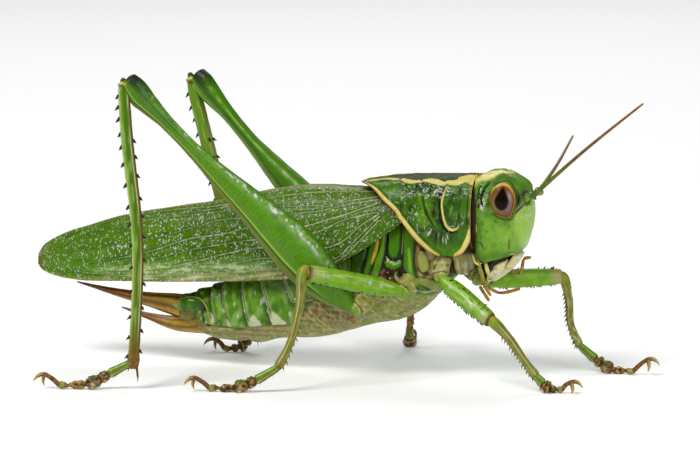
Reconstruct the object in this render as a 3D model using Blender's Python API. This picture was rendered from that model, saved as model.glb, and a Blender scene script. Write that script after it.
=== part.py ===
"""A large green grasshopper with a sword-shaped ovipositor, still and life-size, standing on six feet.

Lengths are in millimetres until a mesh is made, which turns them into metres.
+X points to the head, +Y to the insect's left, +Z up. The floor is z = 0.
Each hard part is its own closed solid with a small gap to its neighbours.
"""

import math

import bmesh
import bpy
from mathutils import Vector

MM = 0.001  # one millimetre in metres
GAP = 0.3  # clearance between neighbouring solids
SHEET = 0.5  # thickness of the wings and of the neck shield
TRUNK_SIDES = 16
LIMB_SIDES = 8

SIDES = {"right": -1.0, "left": 1.0}
LEFT = Vector((0, 1, 0))
UP = Vector((0, 0, 1))

# Places on the body that the other sizes are built from.
HEAD_REAR = 16.5  # x of the back of the head
HEAD_BOTTOM = 14.75  # under the middle of the head
HEAD_TOP = 25.0
SHIELD_FRONT = 16.2
SHIELD_TAIL = 1.6
SHIELD_SHOULDER = 19.5  # height where the shield's roof turns into its side lobes
SHIELD_LOBE = 15.05  # height of the lobes' lower tips
WAIST = 1.0  # x where the thorax meets the abdomen
BODY_END = -21.2  # x of the abdomen's hind end
WING_TIP = -39.8

COLOURS = {
    "leaf_green": ((0.09, 0.27, 0.025), 0.35),
    "bright_green": ((0.17, 0.42, 0.03), 0.35),
    "face_green": ((0.26, 0.48, 0.09), 0.4),
    "wing_green": ((0.08, 0.22, 0.02), 0.4),
    "belly": ((0.36, 0.37, 0.2), 0.55),
    "cream": ((0.72, 0.62, 0.3), 0.45),
    "eye_brown": ((0.09, 0.035, 0.012), 0.15),
    "olive": ((0.25, 0.27, 0.05), 0.4),
    "brown": ((0.16, 0.07, 0.02), 0.4),
}


def material(colour):
    """The named cuticle material, made on first use."""
    found = bpy.data.materials.get(colour)
    if found:
        return found
    rgb, roughness = COLOURS[colour]
    made = bpy.data.materials.new(colour)
    made.use_nodes = True
    shader = made.node_tree.nodes["Principled BSDF"]
    shader.inputs["Base Color"].default_value = (*rgb, 1.0)
    shader.inputs["Roughness"].default_value = roughness
    shader.inputs["Metallic"].default_value = 0.0
    made.diffuse_color = (*rgb, 1.0)
    return made


def curve_rows(rows, shares):
    """Rows of numbers read at the given shares of a Catmull-Rom curve through the given rows."""
    rows = [tuple(row) for row in rows]
    padded = [rows[0], *rows, rows[-1]]
    read = []
    for share in shares:
        place = share * (len(rows) - 1)
        index = min(int(place), len(rows) - 2)
        t = place - index
        before, start, end, after = padded[index : index + 4]
        read.append(
            tuple(
                0.5 * (2 * b + (c - a) * t + (2 * a - 5 * b + 4 * c - d) * t**2 + (3 * (b - c) + d - a) * t**3)
                for a, b, c, d in zip(before, start, end, after)
            )
        )
    return read


def smooth_rows(rows, count):
    """The same curve read at even steps."""
    return curve_rows(rows, [step / (count - 1) for step in range(count)])


def read_at(rows, x):
    """The other numbers of a table whose first column rises, read linearly at x."""
    for low, high in zip(rows, rows[1:]):
        if x <= high[0] or high is rows[-1]:
            t = (x - low[0]) / (high[0] - low[0])
            return [a + (b - a) * t for a, b in zip(low[1:], high[1:])]


def power_of(value, exponent):
    return math.copysign(abs(value) ** exponent, value)


def section(centre, side_axis, up_axis, side, up, down, power=2.0, count=LIMB_SIDES):
    """A closed oval ring: a superellipse with its own half heights above and below the centre."""
    ring = []
    for k in range(count):
        angle = 2 * math.pi * (k + 0.5) / count
        across = side * power_of(math.cos(angle), 2 / power)
        height = power_of(math.sin(angle), 2 / power)
        height *= up if height > 0 else down
        ring.append(centre + side_axis * across + up_axis * height)
    return ring


def finish(name, bm, colour):
    """Writes a closed bmesh, in millimetres, to a named object in metres."""
    bmesh.ops.recalc_face_normals(bm, faces=bm.faces)
    bmesh.ops.scale(bm, vec=(MM, MM, MM), verts=bm.verts)
    mesh = bpy.data.meshes.new(name)
    bm.to_mesh(mesh)
    bm.free()
    mesh.shade_smooth()
    mesh.set_sharp_from_angle(angle=math.radians(50))
    mesh.materials.append(material(colour))
    obj = bpy.data.objects.new(name, mesh)
    bpy.context.scene.collection.objects.link(obj)
    obj.parent = stance
    return obj


def skinned(rings):
    """A bmesh skinned over rings of equal length, with both ends closed."""
    bm = bmesh.new()
    loops = [[bm.verts.new(point) for point in ring] for ring in rings]
    for first, second in zip(loops, loops[1:]):
        for k in range(len(first)):
            bm.faces.new((first[k - 1], first[k], second[k], second[k - 1]))
    bm.faces.new(loops[0])
    bm.faces.new(loops[-1])
    return bm


def loft(name, rings, colour):
    return finish(name, skinned(rings), colour)


def cut(target, cutter):
    """Takes the cutter out of the target with an exact Boolean, and hides the cutter."""
    cutter.hide_render = True
    cutter.display_type = "WIRE"
    modifier = target.modifiers.new("part_from_" + cutter.name, "BOOLEAN")
    modifier.operation = "DIFFERENCE"
    modifier.solver = "EXACT"
    modifier.object = cutter


def ellipsoid(name, centre, radii, colour, segments=12, rings=8):
    bm = bmesh.new()
    bmesh.ops.create_uvsphere(bm, u_segments=segments, v_segments=rings, radius=1.0)
    bmesh.ops.scale(bm, vec=radii, verts=bm.verts)
    bmesh.ops.translate(bm, vec=centre, verts=bm.verts)
    return finish(name, bm, colour)


def limb_frame(path, normal):
    """For each point of a path: the point, its side axis and its up axis, square to the path."""
    frames = []
    for index, point in enumerate(path):
        ahead = path[min(index + 1, len(path) - 1)] - path[max(index - 1, 0)]
        direction = ahead.normalized()
        side = (normal - direction * normal.dot(direction)).normalized()
        frames.append((point, side, side.cross(direction)))
    return frames


def limb(name, points, widths, normal, colour, count=12, power=2.0, sides=LIMB_SIDES, grow=0.0):
    """A tapered limb along a smooth path. Each row of widths is (side, up, down)."""
    path = [Vector(row) for row in smooth_rows(points, count)]
    path[0] += (path[0] - path[1]).normalized() * grow
    path[-1] += (path[-1] - path[-2]).normalized() * grow
    rows = smooth_rows(widths, count)
    rings = [
        section(point, side, up, row[0] + grow, row[1] + grow, row[2] + grow, power, sides)
        for (point, side, up), row in zip(limb_frame(path, normal), rows)
    ]
    return loft(name, rings, colour)


# ---- head -----------------------------------------------------------------------------------------

# height, front x, half width, forward rise of the ring
HEAD_ROWS = (
    (HEAD_BOTTOM, 21.3, 2.9, 0.29),
    (15.4, 21.8, 3.45, 0.24),
    (16.7, 22.2, 3.85, 0.14),
    (18.4, 22.6, 4.05, 0.05),
    (20.6, 22.7, 4.15, 0.0),
    (22.4, 22.45, 4.05, 0.0),
    (23.5, 21.95, 3.65, 0.0),
    (24.4, 20.8, 2.6, 0.0),
    (HEAD_TOP, 19.3, 1.0, 0.0),
)
HEAD_MIDDLE = 18.9  # x of the head's widest part
EYE = {"x": 19.7, "y": 3.25, "z": 21.65, "radii": (1.6, 1.55, 2.05)}


def build_head():
    """The head capsule: flat behind, domed on top, with a socket for each eye."""
    rings = []
    for z, front, half, rise in smooth_rows(HEAD_ROWS, 11):
        top = (z - HEAD_BOTTOM) / (HEAD_TOP - HEAD_BOTTOM)
        rear = HEAD_REAR + 1.5 * max(0.0, top - 0.92) / 0.08 + 0.5 * max(0.0, 0.1 - top) / 0.1
        centre = Vector((HEAD_MIDDLE, 0, z))
        ahead, behind = front - HEAD_MIDDLE, HEAD_MIDDLE - rear
        rings.append(section(centre, LEFT, Vector((1, 0, rise)), half, ahead, behind, 2.3, TRUNK_SIDES))
    head = loft("head", rings, "face_green")
    for name, sign in SIDES.items():
        centre = (EYE["x"], sign * EYE["y"], EYE["z"])
        ellipsoid("eye_" + name, centre, EYE["radii"], "eye_brown")
        socket = [radius + GAP for radius in EYE["radii"]]
        cut(head, ellipsoid("socket_" + name, centre, socket, "face_green"))


# Each feeler: root, a point on the way and tip.
ANTENNAE = {
    "right": ((22.95, -1.6, 22.2), (29.6, -2.6, 28.1), (36.5, -3.0, 33.75)),
    "left": ((22.95, 1.5, 22.4), (23.6, 8.0, 25.0), (23.2, 17.0, 27.3)),
}


def build_antennae():
    """A feeler on each side: a thick first joint, then an even taper."""
    for name, (root, middle, tip) in ANTENNAE.items():
        radii = ((0.5, 0.5, 0.5), (0.3, 0.3, 0.3), (0.27, 0.27, 0.27), (0.25, 0.25, 0.25))
        limb("antenna_" + name, (root, middle, tip), radii, Vector((0.3, 0.3, -1)), "olive", 7, sides=6)


def build_mouth():
    """The upper lip in front, a jaw on each side, the lower lip behind, and four palps."""
    lip_path = ((20.9, 0, 14.85), (20.4, 0, 14.2), (19.7, 0, 13.4), (18.7, 0, 12.5), (17.9, 0, 12.05))
    lip_rows = ((2.2, 0.33, 0.33), (2.25, 0.36, 0.36), (2.1, 0.36, 0.36), (1.8, 0.33, 0.33), (1.1, 0.25, 0.25))
    limb("upper_lip", lip_path, lip_rows, LEFT, "belly", 5, 3.0, 10)
    lip_room = limb("lip_room", lip_path, lip_rows, LEFT, "belly", 5, 3.0, 10, grow=GAP)
    jaw_rows = ((0.95, 0.95, 0.9), (1.0, 0.95, 0.9), (0.85, 0.55, 0.6), (0.45, 0.3, 0.35))
    for name, sign in SIDES.items():
        jaw_path = (
            (18.7, sign * 1.35, 13.8),
            (18.35, sign * 1.35, 13.2),
            (17.6, sign * 1.15, 12.4),
            (17.1, sign * 0.75, 11.8),
        )
        cut(limb("mandible_" + name, jaw_path, jaw_rows, LEFT, "cream", 5), lip_room)
    under_path = ((16.5, 0, 13.3), (16.3, 0, 12.9), (16.0, 0, 12.2), (15.7, 0, 11.6))
    under_rows = ((1.6, 0.4, 0.45), (1.8, 0.6, 0.7), (1.7, 0.6, 0.75), (1.0, 0.35, 0.4))
    limb("lower_lip", under_path, under_rows, LEFT, "belly", 5, sides=10)
    palps = {
        "palp_maxillary_right": ((17.05, -2.3, 12.6), (17.4, -2.75, 11.7), (18.2, -2.75, 10.4)),
        "palp_maxillary_left": ((18.3, 2.8, 13.1), (20.2, 3.2, 12.3), (20.7, 3.3, 13.9), (21.5, 3.3, 14.2)),
        "palp_labial_right": ((16.4, -0.8, 11.05), (17.0, -1.1, 10.3), (17.6, -1.2, 9.5)),
        "palp_labial_left": ((16.6, 0.8, 11.0), (18.3, 1.2, 10.1), (20.6, 1.6, 10.6)),
    }
    for name, points in palps.items():
        thickness = [(0.25, 0.25, 0.25)] * len(points)
        limb(name, points, thickness, LEFT, "brown", 5, sides=5)


# ---- thorax and neck shield -----------------------------------------------------------------------

# how far round from the ridge (0) to the lobe tip (1), hind margin x, front margin x
SHIELD_MARGINS = (
    (0.0, SHIELD_TAIL, SHIELD_FRONT),
    (0.1, 2.3, SHIELD_FRONT),
    (0.25, 4.0, SHIELD_FRONT),
    (0.4, 5.7, SHIELD_FRONT),
    (0.5, 7.5, SHIELD_FRONT),
    (0.6, 8.3, SHIELD_FRONT),
    (0.77, 9.5, 15.7),
    (0.91, 10.8, 14.7),
    (1.0, 12.3, 13.3),
)
SHIELD_RIDGE = ((SHIELD_TAIL, 23.1), (5.0, 23.75), (9.0, 24.15), (SHIELD_FRONT, 24.35))
SHIELD_HALF_WIDTH = ((SHIELD_TAIL, 5.1), (9.0, 5.2), (12.0, 4.9), (SHIELD_FRONT, 4.5))


def shield_point(around, along):
    """A point of the saddle: around runs -1..1 from lobe to lobe, along 0..1 from front to back."""
    share = abs(around)
    rear, front = read_at(SHIELD_MARGINS, share)
    x = front + (rear - front) * along
    (ridge,) = read_at(SHIELD_RIDGE, x)
    (half,) = read_at(SHIELD_HALF_WIDTH, x)
    if share < 0.5:
        turn = math.pi * share
        y = half * math.sin(turn) ** 0.7
        z = SHIELD_SHOULDER + (ridge - SHIELD_SHOULDER) * max(math.cos(turn), 0.0) ** 0.7
    else:
        down = (share - 0.5) / 0.5
        y = half - 0.45 * down**2
        z = SHIELD_SHOULDER + (SHIELD_LOBE - SHIELD_SHOULDER) * down
    return Vector((x, math.copysign(y, around) if share else 0.0, z))


def sheet(name, point_at, across, along, thickness, colour):
    """A curved sheet on a grid of (across + 1) by (along + 1) points, thickened inwards."""
    bm = bmesh.new()
    grid = [[bm.verts.new(point_at(i / across, j / along)) for j in range(along + 1)] for i in range(across + 1)]
    for i in range(across):
        for j in range(along):
            bm.faces.new((grid[i][j], grid[i + 1][j], grid[i + 1][j + 1], grid[i][j + 1]))
    middle = sum((vert.co for vert in bm.verts), Vector()) / len(bm.verts)
    bm.normal_update()
    outward = sum((face.calc_center_median() - middle).dot(face.normal) for face in bm.faces)
    if outward < 0:
        bmesh.ops.reverse_faces(bm, faces=bm.faces)
    bmesh.ops.scale(bm, vec=(MM, MM, MM), verts=bm.verts)
    mesh = bpy.data.meshes.new(name)
    bm.to_mesh(mesh)
    bm.free()
    mesh.shade_smooth()
    mesh.materials.append(material(colour))
    obj = bpy.data.objects.new(name, mesh)
    bpy.context.scene.collection.objects.link(obj)
    obj.parent = stance
    wall = obj.modifiers.new("wall", "SOLIDIFY")
    wall.thickness = thickness * MM
    wall.offset = -1.0
    wall.use_even_offset = False
    return obj


def build_shield():
    """The saddle-shaped pronotum over the front of the thorax."""
    sheet("pronotum", lambda i, j: shield_point(2 * i - 1, j), 18, 6, SHEET, "leaf_green")


# x, centre height, half width, half height above, half height below
THORAX_ROWS = (
    (WAIST, 13.3, 3.8, 6.0, 8.1),
    (3.5, 13.3, 3.95, 7.2, 7.3),
    (6.5, 13.4, 3.95, 7.8, 6.8),
    (9.0, 13.8, 3.8, 7.9, 6.0),
    (11.2, 14.6, 3.5, 7.9, 4.7),
    (13.2, 15.6, 3.1, 7.2, 3.7),
)
NECK_ROWS = (
    (13.2 + GAP, 16.6, 2.7, 4.6, 3.9),
    (14.6, 16.9, 2.4, 4.6, 3.6),
    (16.2, 17.4, 2.2, 4.2, 3.2),
)


def trunk_rings(rows, count, grow=0.0, power=2.1):
    """Rings of the trunk from behind to the front, grown by the same amount all round."""
    rings = []
    for index, (x, centre, half, up, down) in enumerate(smooth_rows(rows, count)):
        x += grow * ((index == count - 1) - (index == 0))
        middle = Vector((x, 0, centre))
        rings.append(section(middle, LEFT, UP, half + grow, up + grow, down + grow, power, TRUNK_SIDES))
    return rings


def build_thorax():
    loft("thorax", trunk_rings(THORAX_ROWS, 8), "leaf_green")
    loft("neck", trunk_rings(NECK_ROWS, 4), "belly")


# ---- abdomen --------------------------------------------------------------------------------------

ABDOMEN_ROWS = (
    (WAIST - GAP, 12.4, 3.9, 6.8, 7.3),
    (-4.0, 11.4, 4.0, 6.2, 7.1),
    (-8.0, 9.9, 3.9, 5.6, 6.2),
    (-12.0, 8.0, 3.5, 4.6, 4.95),
    (-16.0, 6.7, 2.8, 3.5, 3.6),
    (-18.5, 6.6, 2.1, 2.6, 2.9),
    (BODY_END, 6.6, 1.2, 1.6, 1.6),
)
RINGS_IN_ABDOMEN = 9
RING_STEP = 0.12  # how far each ring's hind edge stands over the next


def build_abdomen():
    """Overlapping rings, each a little wider at its hind edge than the start of the next."""
    rows = smooth_rows(ABDOMEN_ROWS, 2 * RINGS_IN_ABDOMEN + 1)
    rings = []
    for index in range(RINGS_IN_ABDOMEN):
        start, hind = rows[2 * index], rows[2 * index + 2]
        for (x, centre, half, up, down), swell in ((start, -RING_STEP), (hind, RING_STEP)):
            if swell > 0:
                x += RING_STEP
            middle = Vector((x, 0, centre))
            rings.append(section(middle, LEFT, UP, half + swell, up + swell, down + swell, 2.2, TRUNK_SIDES))
    loft("abdomen", rings, "leaf_green")


def build_tail():
    """Two cerci and the upper and lower blades of the ovipositor."""
    for name, sign in SIDES.items():
        points = ((-18.9, sign * 2.75, 7.9), (-20.4, sign * 2.6, 8.0), (-21.9, sign * 2.4, 8.1))
        limb("cercus_" + name, points, ((0.45, 0.6, 0.6), (0.4, 0.5, 0.5), (0.25, 0.25, 0.25)), LEFT, "bright_green", 4, sides=6)
    upper = ((BODY_END - GAP - 0.15, 0, 7.3), (-26.0, 0, 7.75), (-30.5, 0, 8.35), (-34.8, 0, 9.2))
    upper_rows = ((0.8, 1.0, 1.3), (0.6, 0.6, 0.8), (0.35, 0.35, 0.4), (0.25, 0.25, 0.25))
    limb("ovipositor_upper", upper, upper_rows, LEFT, "brown", 8)
    lower = ((-20.8, 0, 4.1), (-22.6, 0, 4.55), (-25.6, 0, 5.35), (-29.0, 0, 6.3))
    lower_rows = ((0.8, 0.45, 0.6), (0.6, 0.4, 0.5), (0.4, 0.3, 0.3), (0.25, 0.25, 0.25))
    limb("ovipositor_lower", lower, lower_rows, LEFT, "brown", 7)


# ---- wings ----------------------------------------------------------------------------------------

# x, height of the upper edge, height of the lower edge, half width there, distance of the upper edge
# from the middle
WING_ROWS = (
    (8.4, 22.3, 19.4, 4.2, 0.2),
    (6.0, 22.35, 17.5, 4.45, 0.2),
    (3.0, 22.35, 15.4, 4.75, 0.2),
    (0.0, 22.4, 13.7, 4.9, 0.2),
    (-4.5, 22.4, 11.9, 5.0, 0.2),
    (-10.0, 21.6, 11.15, 4.85, 0.25),
    (-16.2, 20.1, 10.7, 4.2, 0.3),
    (-22.5, 19.0, 10.25, 3.2, 0.4),
    (-28.5, 17.8, 9.95, 2.3, 0.5),
    (-33.5, 16.2, 9.85, 1.6, 0.6),
    (-37.0, 14.7, 10.3, 1.15, 0.65),
    (-39.0, 13.4, 10.9, 0.9, 0.65),
    (WING_TIP, 12.5, 11.6, 0.8, 0.65),
)
WING_STEPS = 13


def wing_point(rows, sign, down, along):
    """A point of a roof-shaped wing: down runs 0..1 from ridge to lower edge, along 0..1 to the tip."""
    place = along * (len(rows) - 1)
    index = min(int(round(place)), len(rows) - 1)
    x, top, bottom, half, ridge = rows[index]
    turn = down * math.pi / 2
    exponent = 0.8 + 0.15 * along
    y = ridge + (half - ridge) * math.sin(turn) ** exponent
    z = bottom + (top - bottom) * max(math.cos(turn), 0.0) ** exponent
    return Vector((x, sign * y, z))


def build_wings():
    """The two leathery front wings as a roof, and the folded hind wings below its ridge."""
    rows = smooth_rows(WING_ROWS, WING_STEPS + 1)
    for name, sign in SIDES.items():
        sheet(
            "tegmen_" + name,
            lambda i, j, sign=sign: wing_point(rows, sign, i, j),
            7,
            WING_STEPS,
            SHEET,
            "wing_green",
        )
        folded = (
            (0.0, sign * 1.5, 20.2),
            (-8.0, sign * 1.5, 19.2),
            (-18.0, sign * 1.2, 16.9),
            (-25.0, sign * 0.95, 15.0),
            (-31.0, sign * 0.65, 13.4),
        )
        widths = ((1.2, 0.35, 0.35), (1.2, 0.35, 0.35), (0.85, 0.4, 0.4), (0.5, 0.5, 0.5), (0.25, 0.4, 0.4))
        limb("hind_wing_" + name, folded, widths, LEFT, "olive", 7, 3.0, 8)


# ---- legs -----------------------------------------------------------------------------------------

# Along a femur: share of its length, half height above, below, half thickness.
HIND_FEMUR = (
    (0.0, 0.7, 0.7, 0.6),
    (0.08, 1.9, 1.95, 1.2),
    (0.16, 2.55, 2.65, 1.55),
    (0.25, 2.95, 2.75, 1.7),
    (0.34, 2.75, 2.4, 1.6),
    (0.46, 2.05, 1.8, 1.35),
    (0.58, 1.35, 1.4, 1.05),
    (0.7, 0.8, 1.0, 0.8),
    (0.82, 0.8, 0.85, 0.75),
    (0.93, 1.35, 0.95, 0.95),
    (1.0, 1.5, 1.1, 1.0),
    (1.022, 0.9, 0.7, 0.65),
)
SHORT_FEMUR = (
    (0.0, 0.6, 0.6, 0.55),
    (0.12, 0.95, 0.95, 0.8),
    (0.4, 1.15, 1.15, 0.9),
    (0.75, 1.0, 1.0, 0.8),
    (0.95, 0.9, 0.9, 0.75),
    (1.0, 0.6, 0.6, 0.5),
)
HIND_TIBIA = ((0.0, 0.4), (0.04, 0.66), (0.12, 0.62), (0.3, 0.62), (0.5, 0.58), (0.92, 0.6), (1.0, 0.5))
SHORT_TIBIA = ((0.0, 0.35), (0.05, 0.55), (0.35, 0.42), (0.8, 0.38), (0.95, 0.5), (1.0, 0.4))

# Joint places of each leg, from the body outwards, ending on the floor at the claws.
LEGS = {
    "hind_right": {
        "coxa": (3.3, -3.9, 9.6),
        "hip": (2.1, -5.6, 8.3),
        "knee": (-22.6, -14.6, 35.3),
        "shin": ((-23.45, -14.6, 35.9), (-22.65, -15.6, 29.0), (-20.6, -17.8, 16.5), (-20.5, -20.0, 2.6)),
        "toes": ((-23.4, -20.7, 1.75), (-25.6, -21.4, 0.7), (-28.6, -22.2, 0.45)),
        "claws": (-31.4, -23.0, 1.2),
    },
    "hind_left": {
        "coxa": (3.3, 3.9, 9.6),
        "hip": (2.1, 5.6, 8.7),
        "knee": (-23.35, 12.4, 33.3),
        "shin": ((-24.5, 12.4, 33.9), (-22.3, 12.0, 26.0), (-18.6, 10.6, 14.0), (-14.9, 9.2, 2.3)),
        "toes": ((-16.2, 8.9, 1.2), (-17.2, 8.4, 0.65), (-18.4, 8.0, 0.45)),
        "claws": (-20.6, 8.2, 1.0),
    },
    "middle_right": {
        "coxa": (8.6, -3.6, 12.0),
        "hip": (7.9, -4.9, 10.7),
        "knee": (-0.8, -13.9, 13.8),
        "shin": ((-1.5, -14.0, 13.8), (-1.7, -14.6, 10.0), (-2.4, -15.7, 6.0), (-3.7, -16.8, 2.9)),
        "toes": ((-6.0, -17.5, 1.5), (-8.4, -18.2, 0.6), (-11.2, -18.7, 0.45)),
        "claws": (-13.9, -19.6, 1.1),
    },
    "middle_left": {
        "coxa": (8.6, 3.6, 12.0),
        "hip": (7.9, 4.9, 10.7),
        "knee": (4.4, 13.6, 13.6),
        "shin": ((4.1, 14.2, 13.5), (3.6, 14.9, 10.0), (3.2, 15.6, 6.0), (2.8, 16.2, 3.0)),
        "toes": ((2.4, 17.6, 1.4), (2.1, 18.8, 0.6), (1.7, 20.6, 0.45)),
        "claws": (1.2, 22.6, 1.0),
    },
    "front_right": {
        "coxa": (12.3, -3.0, 14.4),
        "hip": (12.6, -4.4, 12.4),
        "knee": (19.6, -8.0, 8.3),
        "shin": ((20.0, -8.1, 8.1), (21.9, -8.2, 6.3), (23.6, -8.2, 4.0), (25.2, -8.1, 1.9)),
        "toes": ((26.2, -8.0, 0.9), (26.9, -7.9, 0.55), (28.0, -7.8, 0.45)),
        "claws": (29.9, -7.6, 0.8),
    },
    "front_left": {
        "coxa": (13.0, 2.6, 13.6),
        "hip": (15.4, 3.4, 11.2),
        "knee": (24.1, 7.6, 11.4),
        "shin": ((24.5, 7.9, 11.1), (25.1, 8.0, 8.5), (25.4, 7.9, 5.6), (26.6, 7.6, 3.1)),
        "toes": ((28.6, 7.3, 1.6), (30.6, 7.1, 0.6), (33.1, 6.9, 0.45)),
        "claws": (36.1, 6.9, 1.4),
    },
}


SHIN_SIDES = 6
SPINED = (1, 2, 4, 5)  # which of the shin's six sides carry spines
SHIN_HEAD = 0.04  # share of a shin's length taken by its rounded head
SPINES_FROM = 0.14
SPINES_TO = 0.93
SPINE_BASE = 0.012  # share of the length that one spine's base covers
HIND_SPINES = {"bands": 14, "length": 0.6}
SHORT_SPINES = {"bands": 5, "length": 0.4}


def leg_normal(leg):
    """The side axis of a leg: square to the upright plane through its hip and knee."""
    run = Vector(leg["knee"]) - Vector(leg["hip"])
    return Vector((run.y, -run.x, 0)).normalized()


def spined_shin(name, leg, radii, bands, length):
    """A six-sided shin. At each band two faces behind and two in front rise into spines."""
    starts = [SPINES_FROM + (SPINES_TO - SPINES_FROM) * band / (bands - 1) for band in range(bands)]
    shares = [0.0, SHIN_HEAD]
    for start in starts:
        shares += [start, start + SPINE_BASE]
    shares.append(1.0)
    path = [Vector(row) for row in curve_rows(leg["shin"], shares)]
    rings = []
    for (point, side, up), share in zip(limb_frame(path, leg_normal(leg)), shares):
        (radius,) = read_at(radii, share)
        rings.append(section(point, side, up, radius, radius, radius, 2.0, SHIN_SIDES))
    bm = skinned(rings)
    bm.faces.ensure_lookup_table()
    rising = [(ring, bm.faces[ring * SHIN_SIDES + k]) for ring in range(2, 2 + 2 * bands, 2) for k in SPINED]
    down = (path[-1] - path[0]).normalized()
    for ring, face in rising:
        outward = (face.calc_center_median() - path[ring]).normalized()
        (tip,) = bmesh.ops.poke(bm, faces=[face])["verts"]
        tip.co += (outward + down * 0.45) * length
    return finish(name, bm, "olive")


def build_claws(name, root, tip):
    """A short block with two hooks that part, rise and curl down again."""
    root, tip = Vector(root), Vector(tip)
    run = tip - root
    ahead = Vector((run.x, run.y, 0)).normalized()
    side = Vector((-ahead.y, ahead.x, 0))
    upward = Vector((0, 0, 1))
    bm = bmesh.new()
    columns = (-0.42, -0.12, 0.12, 0.42)
    corners = {}
    for i, across in enumerate(columns):
        for j, high in enumerate((-0.22, 0.22)):
            for k, along in enumerate((0.0, 0.4)):
                place = root + side * across + upward * high + ahead * along
                corners[i, j, k] = bm.verts.new(place)
    fronts = []
    for i in range(3):
        bm.faces.new([corners[key] for key in ((i, 0, 0), (i + 1, 0, 0), (i + 1, 1, 0), (i, 1, 0))])
        fronts.append(bm.faces.new([corners[key] for key in ((i, 0, 1), (i, 1, 1), (i + 1, 1, 1), (i + 1, 0, 1))]))
        for j in (0, 1):
            bm.faces.new([corners[key] for key in ((i, j, 0), (i, j, 1), (i + 1, j, 1), (i + 1, j, 0))])
    for i in (0, 3):
        bm.faces.new([corners[key] for key in ((i, 0, 0), (i, 1, 0), (i, 1, 1), (i, 0, 1))])
    reach = run.length - 0.4
    for face, sign in ((fronts[0], -1.0), (fronts[2], 1.0)):
        rise = (upward * 0.3, upward * 0.0, upward * -0.45)
        for share, lift, scale in zip((0.4, 0.35, 0.25), rise, (0.85, 0.75, 0.5)):
            face = bmesh.ops.extrude_discrete_faces(bm, faces=[face])["faces"][0]
            offset = ahead * reach * share + lift * reach * 0.5 + side * sign * 0.18
            offset += upward * run.z * share
            bmesh.ops.translate(bm, vec=offset, verts=face.verts)
            centre = face.calc_center_median()
            for vert in face.verts:
                vert.co = centre + (vert.co - centre) * scale
        for vert in face.verts:
            vert.co.z = max(vert.co.z, 0.0)
    return finish(name, bm, "brown")


def build_foot(place, leg):
    """Four foot joints on the floor, swollen at each pad and cut flat underneath, then the claws."""
    ankle = Vector(leg["shin"][-1])
    first = Vector(leg["toes"][0])
    start = ankle + (first - ankle).normalized() * (0.55 + GAP)
    points = [tuple(start), *leg["toes"]]
    widths = (
        (0.38, 0.4, 0.4),
        (0.45, 0.45, 0.45),
        (0.55, 0.5, 0.58),
        (0.42, 0.38, 0.55),
        (0.62, 0.48, 0.62),
        (0.4, 0.32, 0.56),
        (0.36, 0.3, 0.56),
        (0.4, 0.34, 0.56),
    )
    path = [Vector(row) for row in smooth_rows(points, 11)]
    rows = smooth_rows(widths, 11)
    across = (path[-1] - path[0]).cross(Vector((0, 0, 1))).normalized()
    rings = [
        section(point, side, up, *row)
        for (point, side, up), row in zip(limb_frame(path, across), rows)
    ]
    bm = skinned(rings)
    for vert in bm.verts:
        vert.co.z = max(vert.co.z, 0.0)
    finish("tarsus_" + place, bm, "olive")
    end = path[-1]
    aim = Vector(leg["claws"])
    build_claws("claws_" + place, end + (aim - end).normalized() * GAP + Vector((0, 0, 0.05)), aim)


def build_leg(place, leg):
    """One leg: coxa, femur, shin and foot, with the femur hollowed for the shin's head."""
    hind = place.startswith("hind")
    normal = leg_normal(leg)
    hip, knee = Vector(leg["hip"]), Vector(leg["knee"])
    profile = HIND_FEMUR if hind else SHORT_FEMUR
    rows = smooth_rows(profile, 15 if hind else 9)
    start = hip + (knee - hip).normalized() * 0.3
    path = [start.lerp(knee, row[0]) for row in rows]
    rings = []
    for (point, side, up), row in zip(limb_frame(path, normal), rows):
        upward = up if up.z > 0 else -up
        rings.append(section(point, side, upward, row[3], row[1], row[2], 2.1, 10))
    femur = loft("femur_" + place, rings, "bright_green")
    spines = HIND_SPINES if hind else SHORT_SPINES
    spined_shin("tibia_" + place, leg, HIND_TIBIA if hind else SHORT_TIBIA, **spines)
    head = [Vector(row) for row in curve_rows(leg["shin"], (0.0, 0.06, 0.12, 0.18) if hind else (0.0, 0.14, 0.27))]
    above = head[0] + (head[0] - head[1]).normalized() * 1.2
    clear = (0.72 if hind else 0.58) + GAP
    socket = limb("knee_room_" + place, [above, *head], [(clear,) * 3] * 2, normal, "brown", 6)
    cut(femur, socket)
    root = Vector(leg["coxa"])
    radius = 1.25 if hind else 1.0
    widths = [(radius,) * 3, (radius,) * 3, (0.75,) * 3]
    coxa = limb("coxa_" + place, (root, root.lerp(hip, 0.5), hip), widths, normal, "belly", 5)
    cut(coxa, loft("thorax_room_" + place, trunk_rings(THORAX_ROWS, 8, GAP), "belly"))
    if place.startswith("front"):
        cut(coxa, loft("neck_room_" + place, trunk_rings(NECK_ROWS, 4, GAP), "belly"))
    room = limb("hip_room_" + place, (root, root.lerp(hip, 0.5), hip), widths, normal, "belly", 5, grow=GAP)
    cut(femur, room)
    build_foot(place, leg)
    return femur


def centre_on_floor():
    """Moves the whole insect so that the middle of its box's floor side is the origin."""
    bpy.context.view_layer.update()
    graph = bpy.context.evaluated_depsgraph_get()
    corners = []
    for obj in bpy.data.objects:
        if obj.type == "MESH" and not obj.hide_render:
            corners += [obj.matrix_world @ vert.co for vert in obj.evaluated_get(graph).data.vertices]
    lowest = [min(corner[axis] for corner in corners) for axis in range(3)]
    highest = [max(corner[axis] for corner in corners) for axis in range(3)]
    stance.location = (-(lowest[0] + highest[0]) / 2, -(lowest[1] + highest[1]) / 2, -lowest[2])


for old in list(bpy.data.objects):
    bpy.data.objects.remove(old, do_unlink=True)
stance = bpy.data.objects.new("stance", None)
bpy.context.scene.collection.objects.link(stance)

build_head()
build_antennae()
build_mouth()
build_shield()
build_thorax()
build_abdomen()
build_tail()
build_wings()
for place, leg in LEGS.items():
    build_leg(place, leg)
centre_on_floor()
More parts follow.
